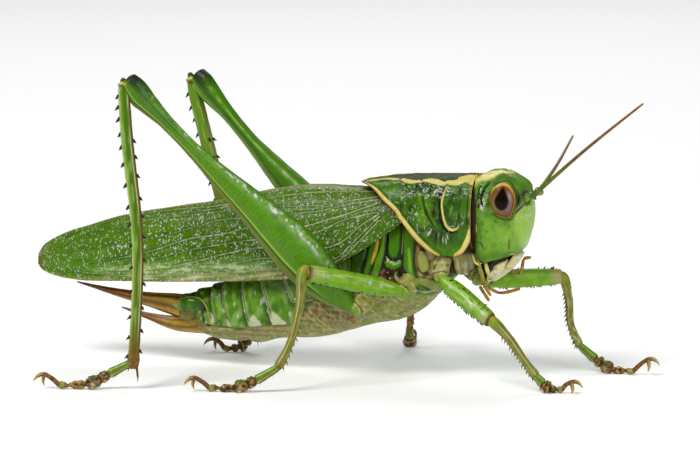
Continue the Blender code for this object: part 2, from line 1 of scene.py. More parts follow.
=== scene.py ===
import bpy
import numpy as np
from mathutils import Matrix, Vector


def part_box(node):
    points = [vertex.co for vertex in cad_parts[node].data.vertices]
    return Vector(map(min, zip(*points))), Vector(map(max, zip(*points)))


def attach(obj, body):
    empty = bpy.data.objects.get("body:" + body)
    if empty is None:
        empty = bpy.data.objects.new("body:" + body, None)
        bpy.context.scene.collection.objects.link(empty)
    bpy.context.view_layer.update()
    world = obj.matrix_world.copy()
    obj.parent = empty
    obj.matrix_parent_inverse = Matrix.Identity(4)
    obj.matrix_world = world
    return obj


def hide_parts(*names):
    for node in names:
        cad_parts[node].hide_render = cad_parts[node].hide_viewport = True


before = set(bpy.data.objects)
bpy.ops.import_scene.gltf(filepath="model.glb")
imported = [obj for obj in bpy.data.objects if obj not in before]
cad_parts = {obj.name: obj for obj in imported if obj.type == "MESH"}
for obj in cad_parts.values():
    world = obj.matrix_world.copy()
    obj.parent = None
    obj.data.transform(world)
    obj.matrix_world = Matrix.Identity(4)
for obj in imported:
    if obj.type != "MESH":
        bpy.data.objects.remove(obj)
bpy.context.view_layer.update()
mm = 0.001

# The insect is drawn in millimetres in its own frame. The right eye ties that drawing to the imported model.
eyeHome = np.array([19.7, -3.25, 21.65])
eyeLow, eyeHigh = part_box("eye_right")
shift = (np.array(eyeLow) + np.array(eyeHigh)) / 2 - eyeHome * mm
sides = {"right": -1, "left": 1}

# Every colour as it looks on a screen, 0 to 255.
look = {
    "leaf": (44, 88, 2),
    "moss": (20, 50, 4),
    "bright": (78, 132, 0),
    "lime": (122, 170, 22),
    "face": (152, 190, 72),
    "cheek": (104, 152, 38),
    "wing": (80, 121, 0),
    "fern": (38, 72, 2),
    "vein": (150, 168, 96),
    "cream": (208, 196, 116),
    "chalk": (206, 208, 172),
    "belly": (156, 150, 92),
    "pea": (126, 140, 60),
    "clay": (104, 98, 46),
    "olive": (104, 116, 18),
    "sage": (140, 146, 66),
    "amber": (176, 128, 36),
    "brown": (106, 64, 22),
    "umber": (48, 24, 8),
    "rust": (98, 38, 12),
    "black": (10, 9, 4),
    "violet": (116, 100, 96),
    "gold": (192, 150, 46),
    "glint": (212, 214, 216),
    "stone": (184, 180, 132),
    "horn": (158, 106, 24),
    "mint": (150, 186, 96),
}


def linear(name):  # screen colour to linear light: the usual sRGB curve
    c = np.array(look[name]) / 255
    return np.where(c <= 0.04045, c / 12.92, ((c + 0.055) / 1.055) ** 2.4)


tone = {name: linear(name) for name in look}


# ramp is 3t^2 - 2t^3 of how far x has come from a to b, held at 0 before and 1 after
def ramp(a, b, x):
    t = np.clip((x - a) / (b - a), 0, 1)
    return t * t * (3 - 2 * t)


# hill is exp(-(distance / width)^2) about its centre
def hill(x, centre, width):
    return np.exp(-(((x - centre) / width) ** 2))


# curve reads rows of numbers at shares t of a Catmull-Rom spline through them
def curve(rows, t):
    rows = np.asarray(rows, float)
    place = np.clip(np.atleast_1d(t), 0, 1) * (len(rows) - 1)
    i = np.minimum(place.astype(int), len(rows) - 2)
    f = (place - i)[:, None]
    padded = np.vstack([rows[:1], rows, rows[-1:]])
    a, b, c, d = padded[i], padded[i + 1], padded[i + 2], padded[i + 3]
    return 0.5 * (2 * b + (c - a) * f + (2 * a - 5 * b + 4 * c - d) * f**2 + (3 * (b - c) + d - a) * f**3)


# rounded keeps the sign and takes the power of the size: it squares an oval's corners
def rounded(value, power):
    return np.sign(value) * np.abs(value) ** power


noiseSlopes = np.random.default_rng(7).normal(size=(32, 32, 32, 3))
noiseSlopes /= np.linalg.norm(noiseSlopes, axis=-1, keepdims=True)
noiseTurn = np.array([[0.36, 0.48, -0.8], [-0.8, 0.6, 0], [0.48, 0.64, 0.6]])


# noise blends, over a turned lattice with cells of the given size, the rise that each corner's own slope gives,
# about -1 to 1
def noise(points, size, seed=0):
    q = points @ noiseTurn / size + seed * 17.31
    i = np.floor(q).astype(int)
    f = q - i
    s = f * f * (3 - 2 * f)
    total = 0
    for dx in (0, 1):
        for dy in (0, 1):
            for dz in (0, 1):
                corner = np.array([dx, dy, dz])
                slope = noiseSlopes[(i[..., 0] + dx) % 32, (i[..., 1] + dy) % 32, (i[..., 2] + dz) % 32]
                weight = np.abs(1 - corner - s).prod(axis=-1)
                total = total + weight * (slope * (f - corner)).sum(axis=-1)
    return total * 1.7


# wrinkles are 1 on thin winding lines, where a noise passes through nothing, and break up where a slower one is low
def wrinkles(points, size, seed, fine=0.14):
    lines = ramp(fine, fine * 0.2, np.abs(noise(points, size, seed) + 0.3 * noise(points, size * 0.45, seed + 50)))
    return lines * cloud(points, size * 2.6, seed + 51, -0.25, 0.1)


# toLine gives the least distance to a polyline, and how far along the line the nearest place is, 0 to 1
def toLine(points, line, smooth=0):
    line = curve(line, np.linspace(0, 1, smooth)) if smooth else np.asarray(line, float)
    best = np.full(points.shape[:-1], 1e9)
    share = np.zeros(points.shape[:-1])
    for k, (a, b) in enumerate(zip(line[:-1], line[1:])):
        d = b - a
        t = np.clip(((points - a) @ d) / (d @ d), 0, 1)
        away = np.linalg.norm(points - a - t[..., None] * d, axis=-1)
        share = np.where(away < best, (k + t) / (len(line) - 1), share)
        best = np.minimum(best, away)
    return best, share


# plate is the distance in from a closed outline, negative outside it; inside is told by counting crossings
def plate(points, outline, smooth=60):
    outline = np.asarray(outline, float)
    count = len(outline)
    loop = curve(np.vstack([outline[-1:], outline, outline[:2]]), np.linspace(1, count + 1, smooth) / (count + 2))
    away = toLine(points, loop)[0]
    x, z = points[..., 0], points[..., 1]
    within = np.zeros(x.shape, bool)
    for (ax, az), (bx, bz) in zip(loop[:-1], loop[1:]):
        crossed = (az > z) != (bz > z)
        within ^= crossed & (x < (bx - ax) * (z - az) / (bz - az + 1e-12) + ax)
    return np.where(within, away, -away)


# cloud is a noise run through a ramp: 0 where it is under low, 1 where it is over high
def cloud(points, size, seed, low, high):
    return ramp(low, high, noise(points, size, seed))


# coats lays named colours over a first one in turn, each by its mask, from 0 for bare to 1 for covered
def coats(base, *layers):
    tint = tone[base] if isinstance(base, str) else base
    for name, mask in layers:
        tint = tint + (tone[name] - tint) * np.clip(mask, 0, 1)[..., None]
    return tint


# turns are the angles of a ring's points, once round from its side
def turns(cols):
    return np.arange(cols) * 2 * np.pi / cols


# oval gives a ring's points as powers of the cosine and the sine: a power of 2 is an ellipse, more squares it
def oval(cols, power):
    angle = turns(cols)
    return rounded(np.cos(angle), 2 / power), rounded(np.sin(angle), 2 / power)


# shares are how far along its limb each ring stands, 0 to 1, with the rings of its end domes
def shares(t, domes):
    return np.concatenate([np.zeros(domes), t, np.ones(domes)])[:, None]


# titled joins a word and a place to one name: thigh and hind_left make thighHindLeft
def titled(word, place):
    return word + place.title().replace("_", "")


# normals of a grid: the cross product of its two directions, the second one closed round
def normals(grid, wrap=True):
    along = np.gradient(grid, axis=0)
    around = np.roll(grid, -1, axis=1) - np.roll(grid, 1, axis=1) if wrap else np.gradient(grid, axis=1)
    n = np.cross(along, around)
    n /= np.maximum(np.linalg.norm(n, axis=-1, keepdims=True), 1e-9)
    middle = grid.mean(axis=1, keepdims=True)
    return n if ((grid - middle) * n).sum() > 0 else -n


# raised moves each point of a closed grid out along its normal by its rise
def raised(grid, rise):
    return grid + normals(grid) * rise[..., None]


# a ring grid: for each row of a path, an oval in its side and up directions with its own half heights
def tube(path, side, up, halves, cols, power=2):
    across, high = oval(cols, power)
    reach = np.where(high[None] > 0, halves[:, 1:2], halves[:, 2:3]) * high[None]
    return path[:, None] + side[:, None] * (halves[:, :1] * across[None])[..., None] + up[:, None] * reach[..., None]


# frames along a path: the side direction is the given normal made square to the path, up is square to both
def frames(path, normal):
    ahead = np.gradient(path, axis=0)
    ahead /= np.linalg.norm(ahead, axis=1, keepdims=True)
    side = normal - ahead * (ahead @ normal)[:, None]
    side /= np.linalg.norm(side, axis=1, keepdims=True)
    return side, np.cross(side, ahead)


# outwards turns a closed part's faces round where its volume, the sum of a . (b x c) over its triangles, is negative
def outwards(points, quads, tris):
    a, b, c = points[np.vstack([quads[:, :3], quads[:, [0, 2, 3]], tris]).T]
    return (quads, tris) if (np.cross(b, c) * a).sum() > 0 else (quads[:, ::-1], tris[:, ::-1])


# part turns a closed ring grid into points and faces, with a middle point closing each end
def part(grid, tint, gloss=0.6):
    rows, cols = grid.shape[:2]
    tint = np.broadcast_to(tint, grid.shape)
    gloss = np.broadcast_to(gloss, grid.shape[:2])
    points = np.vstack([grid.reshape(-1, 3), grid[0].mean(0), grid[-1].mean(0)])
    colours = np.vstack([tint.reshape(-1, 3), tint[0].mean(0), tint[-1].mean(0)])
    shine = np.concatenate([gloss.ravel(), [gloss[0].mean(), gloss[-1].mean()]])
    j = np.arange(cols)
    i = np.arange(rows - 1)[:, None]
    after = (j + 1) % cols
    here, beyond = i * cols, (i + 1) * cols
    quads = np.stack([here + j, here + after, beyond + after, beyond + j], axis=-1).reshape(-1, 4)
    first = np.stack([np.full(cols, rows * cols), after, j], axis=-1)
    last = np.stack([np.full(cols, rows * cols + 1), (rows - 1) * cols + j, (rows - 1) * cols + after], axis=-1)
    tris = np.vstack([first, last])
    v = np.repeat(np.arange(rows) / (rows - 1), cols)
    u = np.tile(j / cols, rows)
    uv = np.vstack([np.stack([u, v], -1), [[0.5, 0], [0.5, 1]]])
    return points, colours, shine, *outwards(points, quads, tris), uv


# cones are pointed spikes: three base points round each root and one point at its tip
def cones(roots, tips, radii, rootTint, tipTint, gloss=0.5, sides=4):
    roots, tips = np.asarray(roots, float), np.asarray(tips, float)
    n = len(roots)
    aim = tips - roots
    aim /= np.linalg.norm(aim, axis=1, keepdims=True)
    helper = np.where(np.abs(aim[:, 2:]) < 0.8, [[0, 0, 1]], [[1, 0, 0]])
    side = np.cross(aim, helper)
    side /= np.linalg.norm(side, axis=1, keepdims=True)
    up = np.cross(side, aim)
    angle = np.arange(sides) * 2 * np.pi / sides
    ring = side[:, None] * np.cos(angle)[None, :, None] + up[:, None] * np.sin(angle)[None, :, None]
    base = roots[:, None] + ring * np.broadcast_to(radii, n)[:, None, None]
    points = np.concatenate([base, tips[:, None]], axis=1).reshape(-1, 3)
    rootTints, tipTints = np.broadcast_to(rootTint, (n, sides, 3)), np.broadcast_to(tipTint, (n, 1, 3))
    colours = np.concatenate([rootTints, tipTints], axis=1).reshape(-1, 3)
    j = np.arange(sides)
    start = (np.arange(n) * (sides + 1))[:, None]
    peak = np.broadcast_to(start + sides, (n, sides))
    flanks = np.stack([start + j, start + (j + 1) % sides, peak], -1).reshape(-1, 3)
    k = np.arange(1, sides - 1)
    bottoms = np.stack([np.broadcast_to(start, (n, sides - 2)), start + k + 1, start + k], -1).reshape(-1, 3)
    tris = np.vstack([flanks, bottoms])
    uv = np.tile(np.vstack([np.stack([j / sides, np.zeros(sides)], -1), [[0.5, 1]]]), (n, 1))
    return points, colours, np.full(len(points), gloss), *outwards(points, np.zeros((0, 4), int), tris), uv


# build joins parts into one piece in the frame's place, with its colour and shine stored on the points
def build(name, parts, material, nodes, glintMarks=None):
    firsts = np.cumsum([0] + [len(one[0]) for one in parts])
    count = int(firsts[-1])
    points, colours, shine, uvs = (np.concatenate([one[k] for one in parts]) for k in (0, 1, 2, 5))
    quads, tris = (np.vstack([one[k] + first for one, first in zip(parts, firsts)]) for k in (3, 4))
    corners = np.concatenate([quads.ravel(), tris.ravel()]).astype(np.int32)
    starts = np.concatenate([np.arange(len(quads)) * 4, len(quads) * 4 + np.arange(len(tris)) * 3]).astype(np.int32)
    mesh = bpy.data.meshes.new(name)
    mesh.vertices.add(count)
    mesh.vertices.foreach_set("co", (points * mm + shift).astype(np.float32).ravel())
    mesh.loops.add(len(corners))
    mesh.loops.foreach_set("vertex_index", corners)
    mesh.polygons.add(len(starts))
    mesh.polygons.foreach_set("loop_start", starts)
    mesh.update(calc_edges=True)
    mesh.shade_smooth()
    loopUv = uvs[corners]
    inQuads = loopUv[: len(quads) * 4].reshape(-1, 4, 2)
    torn = inQuads[..., 0].max(axis=1, keepdims=True) - inQuads[..., 0] > 0.5  # faces across the seam
    inQuads[..., 0] += torn
    mesh.uv_layers.new(name="around").data.foreach_set("uv", loopUv.astype(np.float32).ravel())
    tint = mesh.attributes.new("tint", "FLOAT_COLOR", "POINT")
    tint.data.foreach_set("color", np.hstack([np.clip(colours, 0, 1), shine[:, None]]).astype(np.float32).ravel())
    if glintMarks is not None:  # how strongly the painted highlight strokes show, on the first part's own points
        strength = np.zeros(count)
        strength[: glintMarks.size] = np.clip(glintMarks, 0, 1).ravel()
        mesh.attributes.new("glintMarks", "FLOAT", "POINT").data.foreach_set("value", strength.astype(np.float32))
    piece = bpy.data.objects.new(name, mesh)
    bpy.context.scene.collection.objects.link(piece)
    mesh.materials.append(material)
    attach(piece, "root")
    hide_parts(*nodes)
# table reads the other columns of a smooth curve through rows, by its rising first column
def table(rows, x):
    fine = curve(rows, np.linspace(0, 1, 400))
    return np.stack([np.interp(x, fine[:, 0], fine[:, k]) for k in range(1, fine.shape[1])])


# pin moves each row of a line to the nearest point of a surface; rows of two numbers are x and z, on its widest side
def pin(line, grid):
    line = np.asarray(line, float)
    points = grid.reshape(-1, 3)
    across = np.abs(points[:, 1])
    if line.shape[1] == 2:
        away = (points[None, :, 0] - line[:, :1]) ** 2 + (points[None, :, 2] - line[:, 1:2]) ** 2 - 1e-4 * across[None]
    else:
        away = (points[None, :, 0] - line[:, :1]) ** 2 + (points[None, :, 2] - line[:, 2:3]) ** 2
        away = away + (across[None] - np.abs(line[:, 1:2])) ** 2
    found = points[away.argmin(axis=1)]
    return found * np.where(found[:, 1:2] < 0, [[1, -1, 1]], [[1, 1, 1]])


# stripe is 1 within a half width of a line and falls to 0 over the softness; the width runs smoothly between rows
def stripe(points, line, widths, soft=0.05, samples=48):
    line = np.asarray(line, float)
    widths = np.broadcast_to(np.asarray(widths, float), len(line))
    fine = curve(np.column_stack([line, widths]), np.linspace(0, 1, samples))
    margin = fine[:, -1].max() + soft + 0.3
    low, high = fine[:, :-1].min(0) - margin, fine[:, :-1].max(0) + margin
    near = ((points > low) & (points < high)).all(axis=-1)
    mask = np.zeros(points.shape[:-1])
    if near.any():
        away, share = toLine(points[near], fine[:, :-1])
        width = np.interp(share, np.linspace(0, 1, samples), fine[:, -1])
        mask[near] = 1 - ramp(-soft, soft, away - width)
    return mask


# folded makes every y positive, so that one line or outline serves both sides
def folded(points):
    return np.where([False, True, False], np.abs(points), points)


# domed adds rings that shrink to each end's middle along a quarter circle, standing out by the given depths
def domed(grid, start, end, count=8):
    turn = np.linspace(0, np.pi / 2, count + 2)[1:-1, None, None]
    ends = []
    for ring, inner, depth in ((grid[0], grid[1], start), (grid[-1], grid[-2], end)):
        middle = ring.mean(0)
        out = middle - inner.mean(0)
        out /= np.linalg.norm(out)
        ends.append(middle + (ring - middle) * np.cos(turn) + out * depth * np.sin(turn))
    return np.concatenate([ends[0][::-1], grid, ends[1]])


# a lofted limb: its path and half widths run on splines, its end rings close as domes
def limbGrid(path, halves, rows, cols, power=2, ends=(0.2, 0.2), domes=6, normal=(0, 1, 0)):
    t = np.linspace(0, 1, rows)
    line = curve(path, t)
    sideways, up = frames(line, np.asarray(normal, float))
    return domed(tube(line, sideways, up, curve(halves, t), cols, power), *ends, domes), shares(t, domes)


# shell closes a curved sheet: the fine outer grid, an inner grid of every fourth point set in by the wall, and edges
def shell(outer, wall, tint, gloss, taper=4):
    rows, cols = outer.shape[:2]
    n = normals(outer, wrap=False)
    coarse = outer[::4, ::4]
    r, c = coarse.shape[:2]
    edge = np.minimum.outer(np.minimum(np.arange(r), np.arange(r)[::-1]), np.full(c, 99))
    edge = np.minimum(edge, np.minimum(np.arange(c), np.arange(c)[::-1])[None])
    depth = wall * (0.3 + 0.7 * ramp(0, taper, edge))
    inner = coarse - n[::4, ::4] * depth[..., None]
    points = np.vstack([outer.reshape(-1, 3), inner.reshape(-1, 3)])
    tint = np.broadcast_to(tint, outer.shape)
    gloss = np.broadcast_to(gloss, outer.shape[:2])
    colours = np.vstack([tint.reshape(-1, 3), tint[::4, ::4].reshape(-1, 3) * 0.7])
    shine = np.concatenate([gloss.ravel(), gloss[::4, ::4].ravel() * 0.5])
    front = np.arange(rows * cols).reshape(rows, cols)
    back = rows * cols + np.arange(r * c).reshape(r, c)
    quads = np.concatenate([
        np.stack([front[:-1, :-1], front[1:, :-1], front[1:, 1:], front[:-1, 1:]], -1).reshape(-1, 4),
        np.stack([back[:-1, :-1], back[:-1, 1:], back[1:, 1:], back[1:, :-1]], -1).reshape(-1, 4),
    ])
    tris = []
    for line, near, turned in (
        (front[0], back[0], False), (front[-1], back[-1], True), (front[:, 0], back[:, 0], True),
        (front[:, -1], back[:, -1], False),
    ):
        a, p, q = line[:-1].reshape(-1, 4), near[:-1], near[1:]
        last = line[4::4]
        fan = np.concatenate([
            np.stack([p, a[:, 0], a[:, 1]], -1), np.stack([p, a[:, 1], a[:, 2]], -1), np.stack([p, a[:, 2], q], -1),
            np.stack([q, a[:, 2], a[:, 3]], -1), np.stack([q, a[:, 3], last], -1),
        ])
        tris.append(fan[:, ::-1] if turned else fan)
    tris = np.concatenate(tris)
    uv = np.stack(np.meshgrid(np.linspace(0, 1, cols), np.linspace(0, 1, rows)), -1)
    uv = np.vstack([uv.reshape(-1, 2), uv[::4, ::4].reshape(-1, 2)])
    return points, colours, shine, *outwards(points, quads, tris), uv


print("camera, floor and light")
studio = {
    "azimuth": 17, "elevation": 8, "distance": 500, "target": (0, 0, 16.7), "lens": 214.29,
    "lamps": {  # place in metres, size, watts, colour
        "keyLight": ((-0.25, -0.4, 0.6), 0.3, 4.6, (1, 0.97, 0.91)),
        "fillLight": ((0.55, -0.45, 0.3), 0.4, 2.4, (1, 0.98, 0.94)),
        "backLight": ((-0.1, 0.5, 0.55), 0.4, 2, (1, 0.99, 0.95)),
    },
    "world": ((1, 0.98, 0.93, 1), 0.14),
    "floorSize": 3,
    "paper": {"Base Color": (0.9, 0.92, 0.95, 1), "Emission Color": (0.9, 0.95, 1, 1), "Emission Strength": 0.14,
              "Roughness": 0.9},
}


# the camera stands back from its target along the line of its azimuth and elevation; the lamps face that target
def makeStudio():
    scene = bpy.context.scene
    a, e = np.radians(studio["azimuth"]), np.radians(studio["elevation"])
    back = Vector((np.sin(a) * np.cos(e), -np.cos(a) * np.cos(e), np.sin(e)))
    target = Vector(np.array(studio["target"]) * mm + shift)
    camera = bpy.data.objects.new("camera", bpy.data.cameras.new("camera"))
    camera.data.lens = studio["lens"]
    camera.data.clip_end = 20
    camera.location = target + back * studio["distance"] * mm
    camera.rotation_euler = back.to_track_quat("Z", "Y").to_euler()
    scene.collection.objects.link(camera)
    scene.camera = camera
    for name, (place, size, watts, colour) in studio["lamps"].items():
        lamp = bpy.data.lights.new(name, "AREA")
        lamp.size, lamp.energy, lamp.color = size, watts, colour
        light = bpy.data.objects.new(name, lamp)
        light.location = Vector(place)
        light.rotation_euler = (Vector(place) - target).to_track_quat("Z", "Y").to_euler()
        scene.collection.objects.link(light)
    scene.world = bpy.data.worlds.new("studioWorld")
    scene.world.use_nodes = True
    sky = scene.world.node_tree.nodes["Background"].inputs
    sky["Color"].default_value, sky["Strength"].default_value = studio["world"]
    scene.view_settings.view_transform = "Standard"


# the floor is one square of pale paper
def makeFloor():
    corners = np.array([[-1, -1, 0], [1, -1, 0], [1, 1, 0], [-1, 1, 0]]) * studio["floorSize"]
    mesh = bpy.data.meshes.new("studioFloor")
    mesh.from_pydata(corners.tolist(), [], [(0, 1, 2, 3)])
    floor = bpy.data.objects.new("studioFloor", mesh)
    bpy.context.scene.collection.objects.link(floor)
    paper = bpy.data.materials.new("palePaper")
    paper.use_nodes = True
    fill(paper.node_tree, paper.node_tree.nodes["Principled BSDF"], studio["paper"])
    mesh.materials.append(paper)


# fill goes through a node's sockets by name or number: another node's output is linked, anything else is its value
def fill(tree, node, sockets):
    for label, value in sockets.items():
        if isinstance(value, bpy.types.NodeSocket):
            tree.links.new(value, node.inputs[label])
        else:
            node.inputs[label].default_value = value
    return node


# addNode makes a shader node of a kind with its settings, and fills its sockets
def addNode(tree, kind, sockets, **settings):
    node = tree.nodes.new("ShaderNode" + kind)
    for setting, value in settings.items():
        setattr(node, setting, value)
    return fill(tree, node, sockets)


# a cloudy noise in the range 0 to 1 at a place
def noiseNode(tree, place, scale, detail):
    sockets = {"Vector": place, "Scale": scale, "Detail": detail, "Roughness": 0.55}
    return addNode(tree, "TexNoise", sockets).outputs["Fac"]


# one sum on two values, each a socket or a number
def mathNode(tree, what, a, b, clamp=False):
    return addNode(tree, "Math", {0: a, 1: b}, operation=what, use_clamp=clamp).outputs[0]


# group makes a node group: a value's length tells its input's kind, and its tree starts with the object's own place
def group(name, values, result, kind="Float"):
    tree = bpy.data.node_groups.new(name, "ShaderNodeTree")
    for label, value in values.items():
        sort = {3: "Vector", 4: "Color"}[len(value)] if isinstance(value, tuple) else "Float"
        socket = tree.interface.new_socket(name=label, in_out="INPUT", socket_type="NodeSocket" + sort)
        socket.default_value = value
    tree.interface.new_socket(name=result, in_out="OUTPUT", socket_type="NodeSocket" + kind)
    start, end = tree.nodes.new("NodeGroupInput"), tree.nodes.new("NodeGroupOutput")
    return tree, start.outputs, end.inputs[0], addNode(tree, "TexCoord", {}).outputs["Object"]


# mottling: the base colour goes towards its shade colour where a cloudy noise is high
def mottlingGroup():
    values = {"Base": (0.5, 0.5, 0.5, 1), "Shade": (0.5, 0.6, 0.3, 1), "Scale": 900, "Amount": 0.5}
    tree, given, out, place = group("mottling", values, "Color", "Color")
    cloudy = noiseNode(tree, place, given["Scale"], 4)
    spread = addNode(tree, "MapRange", {"Value": cloudy, "From Min": 0.42, "From Max": 0.68}).outputs[0]
    amount = mathNode(tree, "MULTIPLY", spread, given["Amount"])
    colours = {"Factor": amount, 6: given["Base"], 7: given["Shade"]}
    tree.links.new(addNode(tree, "Mix", colours, data_type="RGBA", blend_type="MULTIPLY").outputs[2], out)
    return tree


# chitinGrain: a height made of fine pits and a softer unevenness
def grainGroup():
    tree, given, out, place = group("chitinGrain", {"Scale": 5000, "Pits": 0.5}, "Height")
    cells = addNode(tree, "TexVoronoi", {"Vector": place, "Scale": given["Scale"]}, feature="SMOOTH_F1")
    pits = mathNode(tree, "MULTIPLY", cells.outputs["Distance"], given["Pits"])
    uneven = noiseNode(tree, place, mathNode(tree, "MULTIPLY", given["Scale"], 0.35), 3)
    tree.links.new(mathNode(tree, "ADD", pits, uneven), out)
    return tree


# wetShine: roughness runs from dull to smooth by the painted shine, unsettled by a noise
def shineGroup():
    values = {"Shine": 0.5, "Smooth": 0.2, "Dull": 0.6, "Scale": 2500, "Unsettled": 0.2}
    tree, given, out, place = group("wetShine", values, "Roughness")
    cloudy = mathNode(tree, "SUBTRACT", noiseNode(tree, place, given["Scale"], 3), 0.5)
    swing = mathNode(tree, "MULTIPLY", cloudy, given["Unsettled"])
    span = mathNode(tree, "SUBTRACT", given["Smooth"], given["Dull"])
    level = mathNode(tree, "ADD", mathNode(tree, "MULTIPLY", span, given["Shine"]), given["Dull"])
    tree.links.new(mathNode(tree, "ADD", level, swing, clamp=True), out)
    return tree


# glintStrokes: painted highlight strokes, short and winding, the middles of stretched cells in an unsettled space, with
# some cells left out
def marksGroup():
    values = {"Amount": 1, "Stretch": (1, 1, 0.5), "Scale": 2000, "Width": 0.3, "Kept": 0.6}
    tree, given, out, place = group("glintStrokes", values, "Mask")
    drift = addNode(tree, "TexNoise", {"Vector": place, "Scale": mathNode(tree, "MULTIPLY", given["Scale"], 0.8),
                                       "Detail": 1})
    push = {0: drift.outputs["Color"], 1: (0.0006, 0.0006, 0.0006), 2: place}
    pushed = addNode(tree, "VectorMath", push, operation="MULTIPLY_ADD").outputs[0]
    pulled = addNode(tree, "VectorMath", {0: pushed, 1: given["Stretch"]}, operation="MULTIPLY").outputs[0]
    cells = addNode(tree, "TexVoronoi", {"Vector": pulled, "Scale": given["Scale"]}).outputs
    edge = {"Value": cells["Distance"], "From Min": mathNode(tree, "MULTIPLY", given["Width"], 0.6),
            "From Max": given["Width"], "To Min": 1, "To Max": 0}
    stroke = addNode(tree, "MapRange", edge, interpolation_type="SMOOTHSTEP").outputs[0]
    chance = addNode(tree, "SeparateColor", {0: cells["Color"]}).outputs[0]
    shown = mathNode(tree, "MULTIPLY", stroke, mathNode(tree, "LESS_THAN", chance, given["Kept"]))
    tree.links.new(mathNode(tree, "MULTIPLY", shown, given["Amount"], clamp=True), out)
    return tree


mottling, chitinGrain, wetShine, glintStrokes = mottlingGroup(), grainGroup(), shineGroup(), marksGroup()


# cuticle: the painted tint mottled, its shine turned into roughness, and a fine grain in relief; painted highlight
# strokes lie on top, raised a little and smoother
def cuticle(name, amount, smooth, dull, coat, mirror, shade=(0.62, 0.72, 0.45, 1), patch=900, grain=6000,
            relief=0.00004, strength=0.35, soft=0, glintMarks=None):
    made = bpy.data.materials.new(name)
    made.use_nodes = True
    tree = made.node_tree
    shader = tree.nodes["Principled BSDF"]

    def grouped(which, **sockets):
        return addNode(tree, "Group", sockets, node_tree=which).outputs[0]

    def stored(attribute):
        return addNode(tree, "Attribute", {}, attribute_name=attribute).outputs

    painted = stored("tint")
    colour = grouped(mottling, Base=painted["Color"], Shade=shade, Scale=patch, Amount=amount)
    shine = grouped(wetShine, Shine=painted["Alpha"], Smooth=smooth, Dull=dull, Unsettled=0.2)
    height = grouped(chitinGrain, Scale=grain, Pits=0.4)
    if glintMarks:
        stretch, scale, width, kept = glintMarks
        mask = grouped(glintStrokes, Amount=stored("glintMarks")["Fac"], Stretch=stretch, Scale=scale, Width=width, Kept=kept)
        # the strokes are painted highlights: the glint colour laid over the base colour by their mask
        laid = {"Factor": mathNode(tree, "MULTIPLY", mask, 0.85), 6: colour, 7: (*tone["glint"], 1)}
        colour = addNode(tree, "Mix", laid, data_type="RGBA").outputs[2]
        height = mathNode(tree, "ADD", height, mathNode(tree, "MULTIPLY", mask, 1.5))
        shine = mathNode(tree, "SUBTRACT", shine, mathNode(tree, "MULTIPLY", mask, 0.2), clamp=True)
    bump = addNode(tree, "Bump", {"Strength": strength, "Distance": relief, "Height": height})
    fill(tree, shader, {"Base Color": colour, "Roughness": shine, "Normal": bump.outputs["Normal"],
                        "Specular IOR Level": mirror, "Coat Weight": coat, "Coat Roughness": 0.12})
    if soft:
        depth = {"Subsurface Weight": soft, "Subsurface Radius": (0.0006, 0.0007, 0.0002), "Subsurface Scale": 1}
        fill(tree, shader, depth)
    return made


headShell = cuticle("headShell", 0.4, 0.22, 0.6, 0.05, 0.25, patch=1300)
backShell = cuticle("backShell", 0.5, 0.14, 0.7, 0, 0.22, patch=1400, relief=0.00006)
sideShell = cuticle("sideShell", 0.4, 0.18, 0.6, 0.06, 0.25, glintMarks=((1, 0.7, 0.5), 1500, 0.34, 0.75))
wingLeather = cuticle("wingLeather", 0.45, 0.22, 0.6, 0.03, 0.14, patch=1500, relief=0.00006,
                      glintMarks=((1.3, 0.35, 0.72), 3300, 0.35, 1))
legShell = cuticle("legShell", 0.3, 0.2, 0.6, 0.06, 0.22, glintMarks=((0.8, 0.8, 0.6), 1600, 0.42, 0.7))
softBelly = cuticle("softBelly", 0.5, 0.35, 0.7, 0.02, 0.2, shade=(0.8, 0.68, 0.45, 1), soft=0.12)
eyeLens = cuticle("eyeLens", 0.2, 0.1, 0.35, 0.03, 0.06, shade=(0.8, 0.7, 0.6, 1), grain=9000, relief=0.00001,
                  strength=0.2)
darkHorn = cuticle("darkHorn", 0.6, 0.2, 0.6, 0.1, 0.25, shade=(0.5, 0.4, 0.3, 1), patch=1700)
makeStudio()
makeFloor()

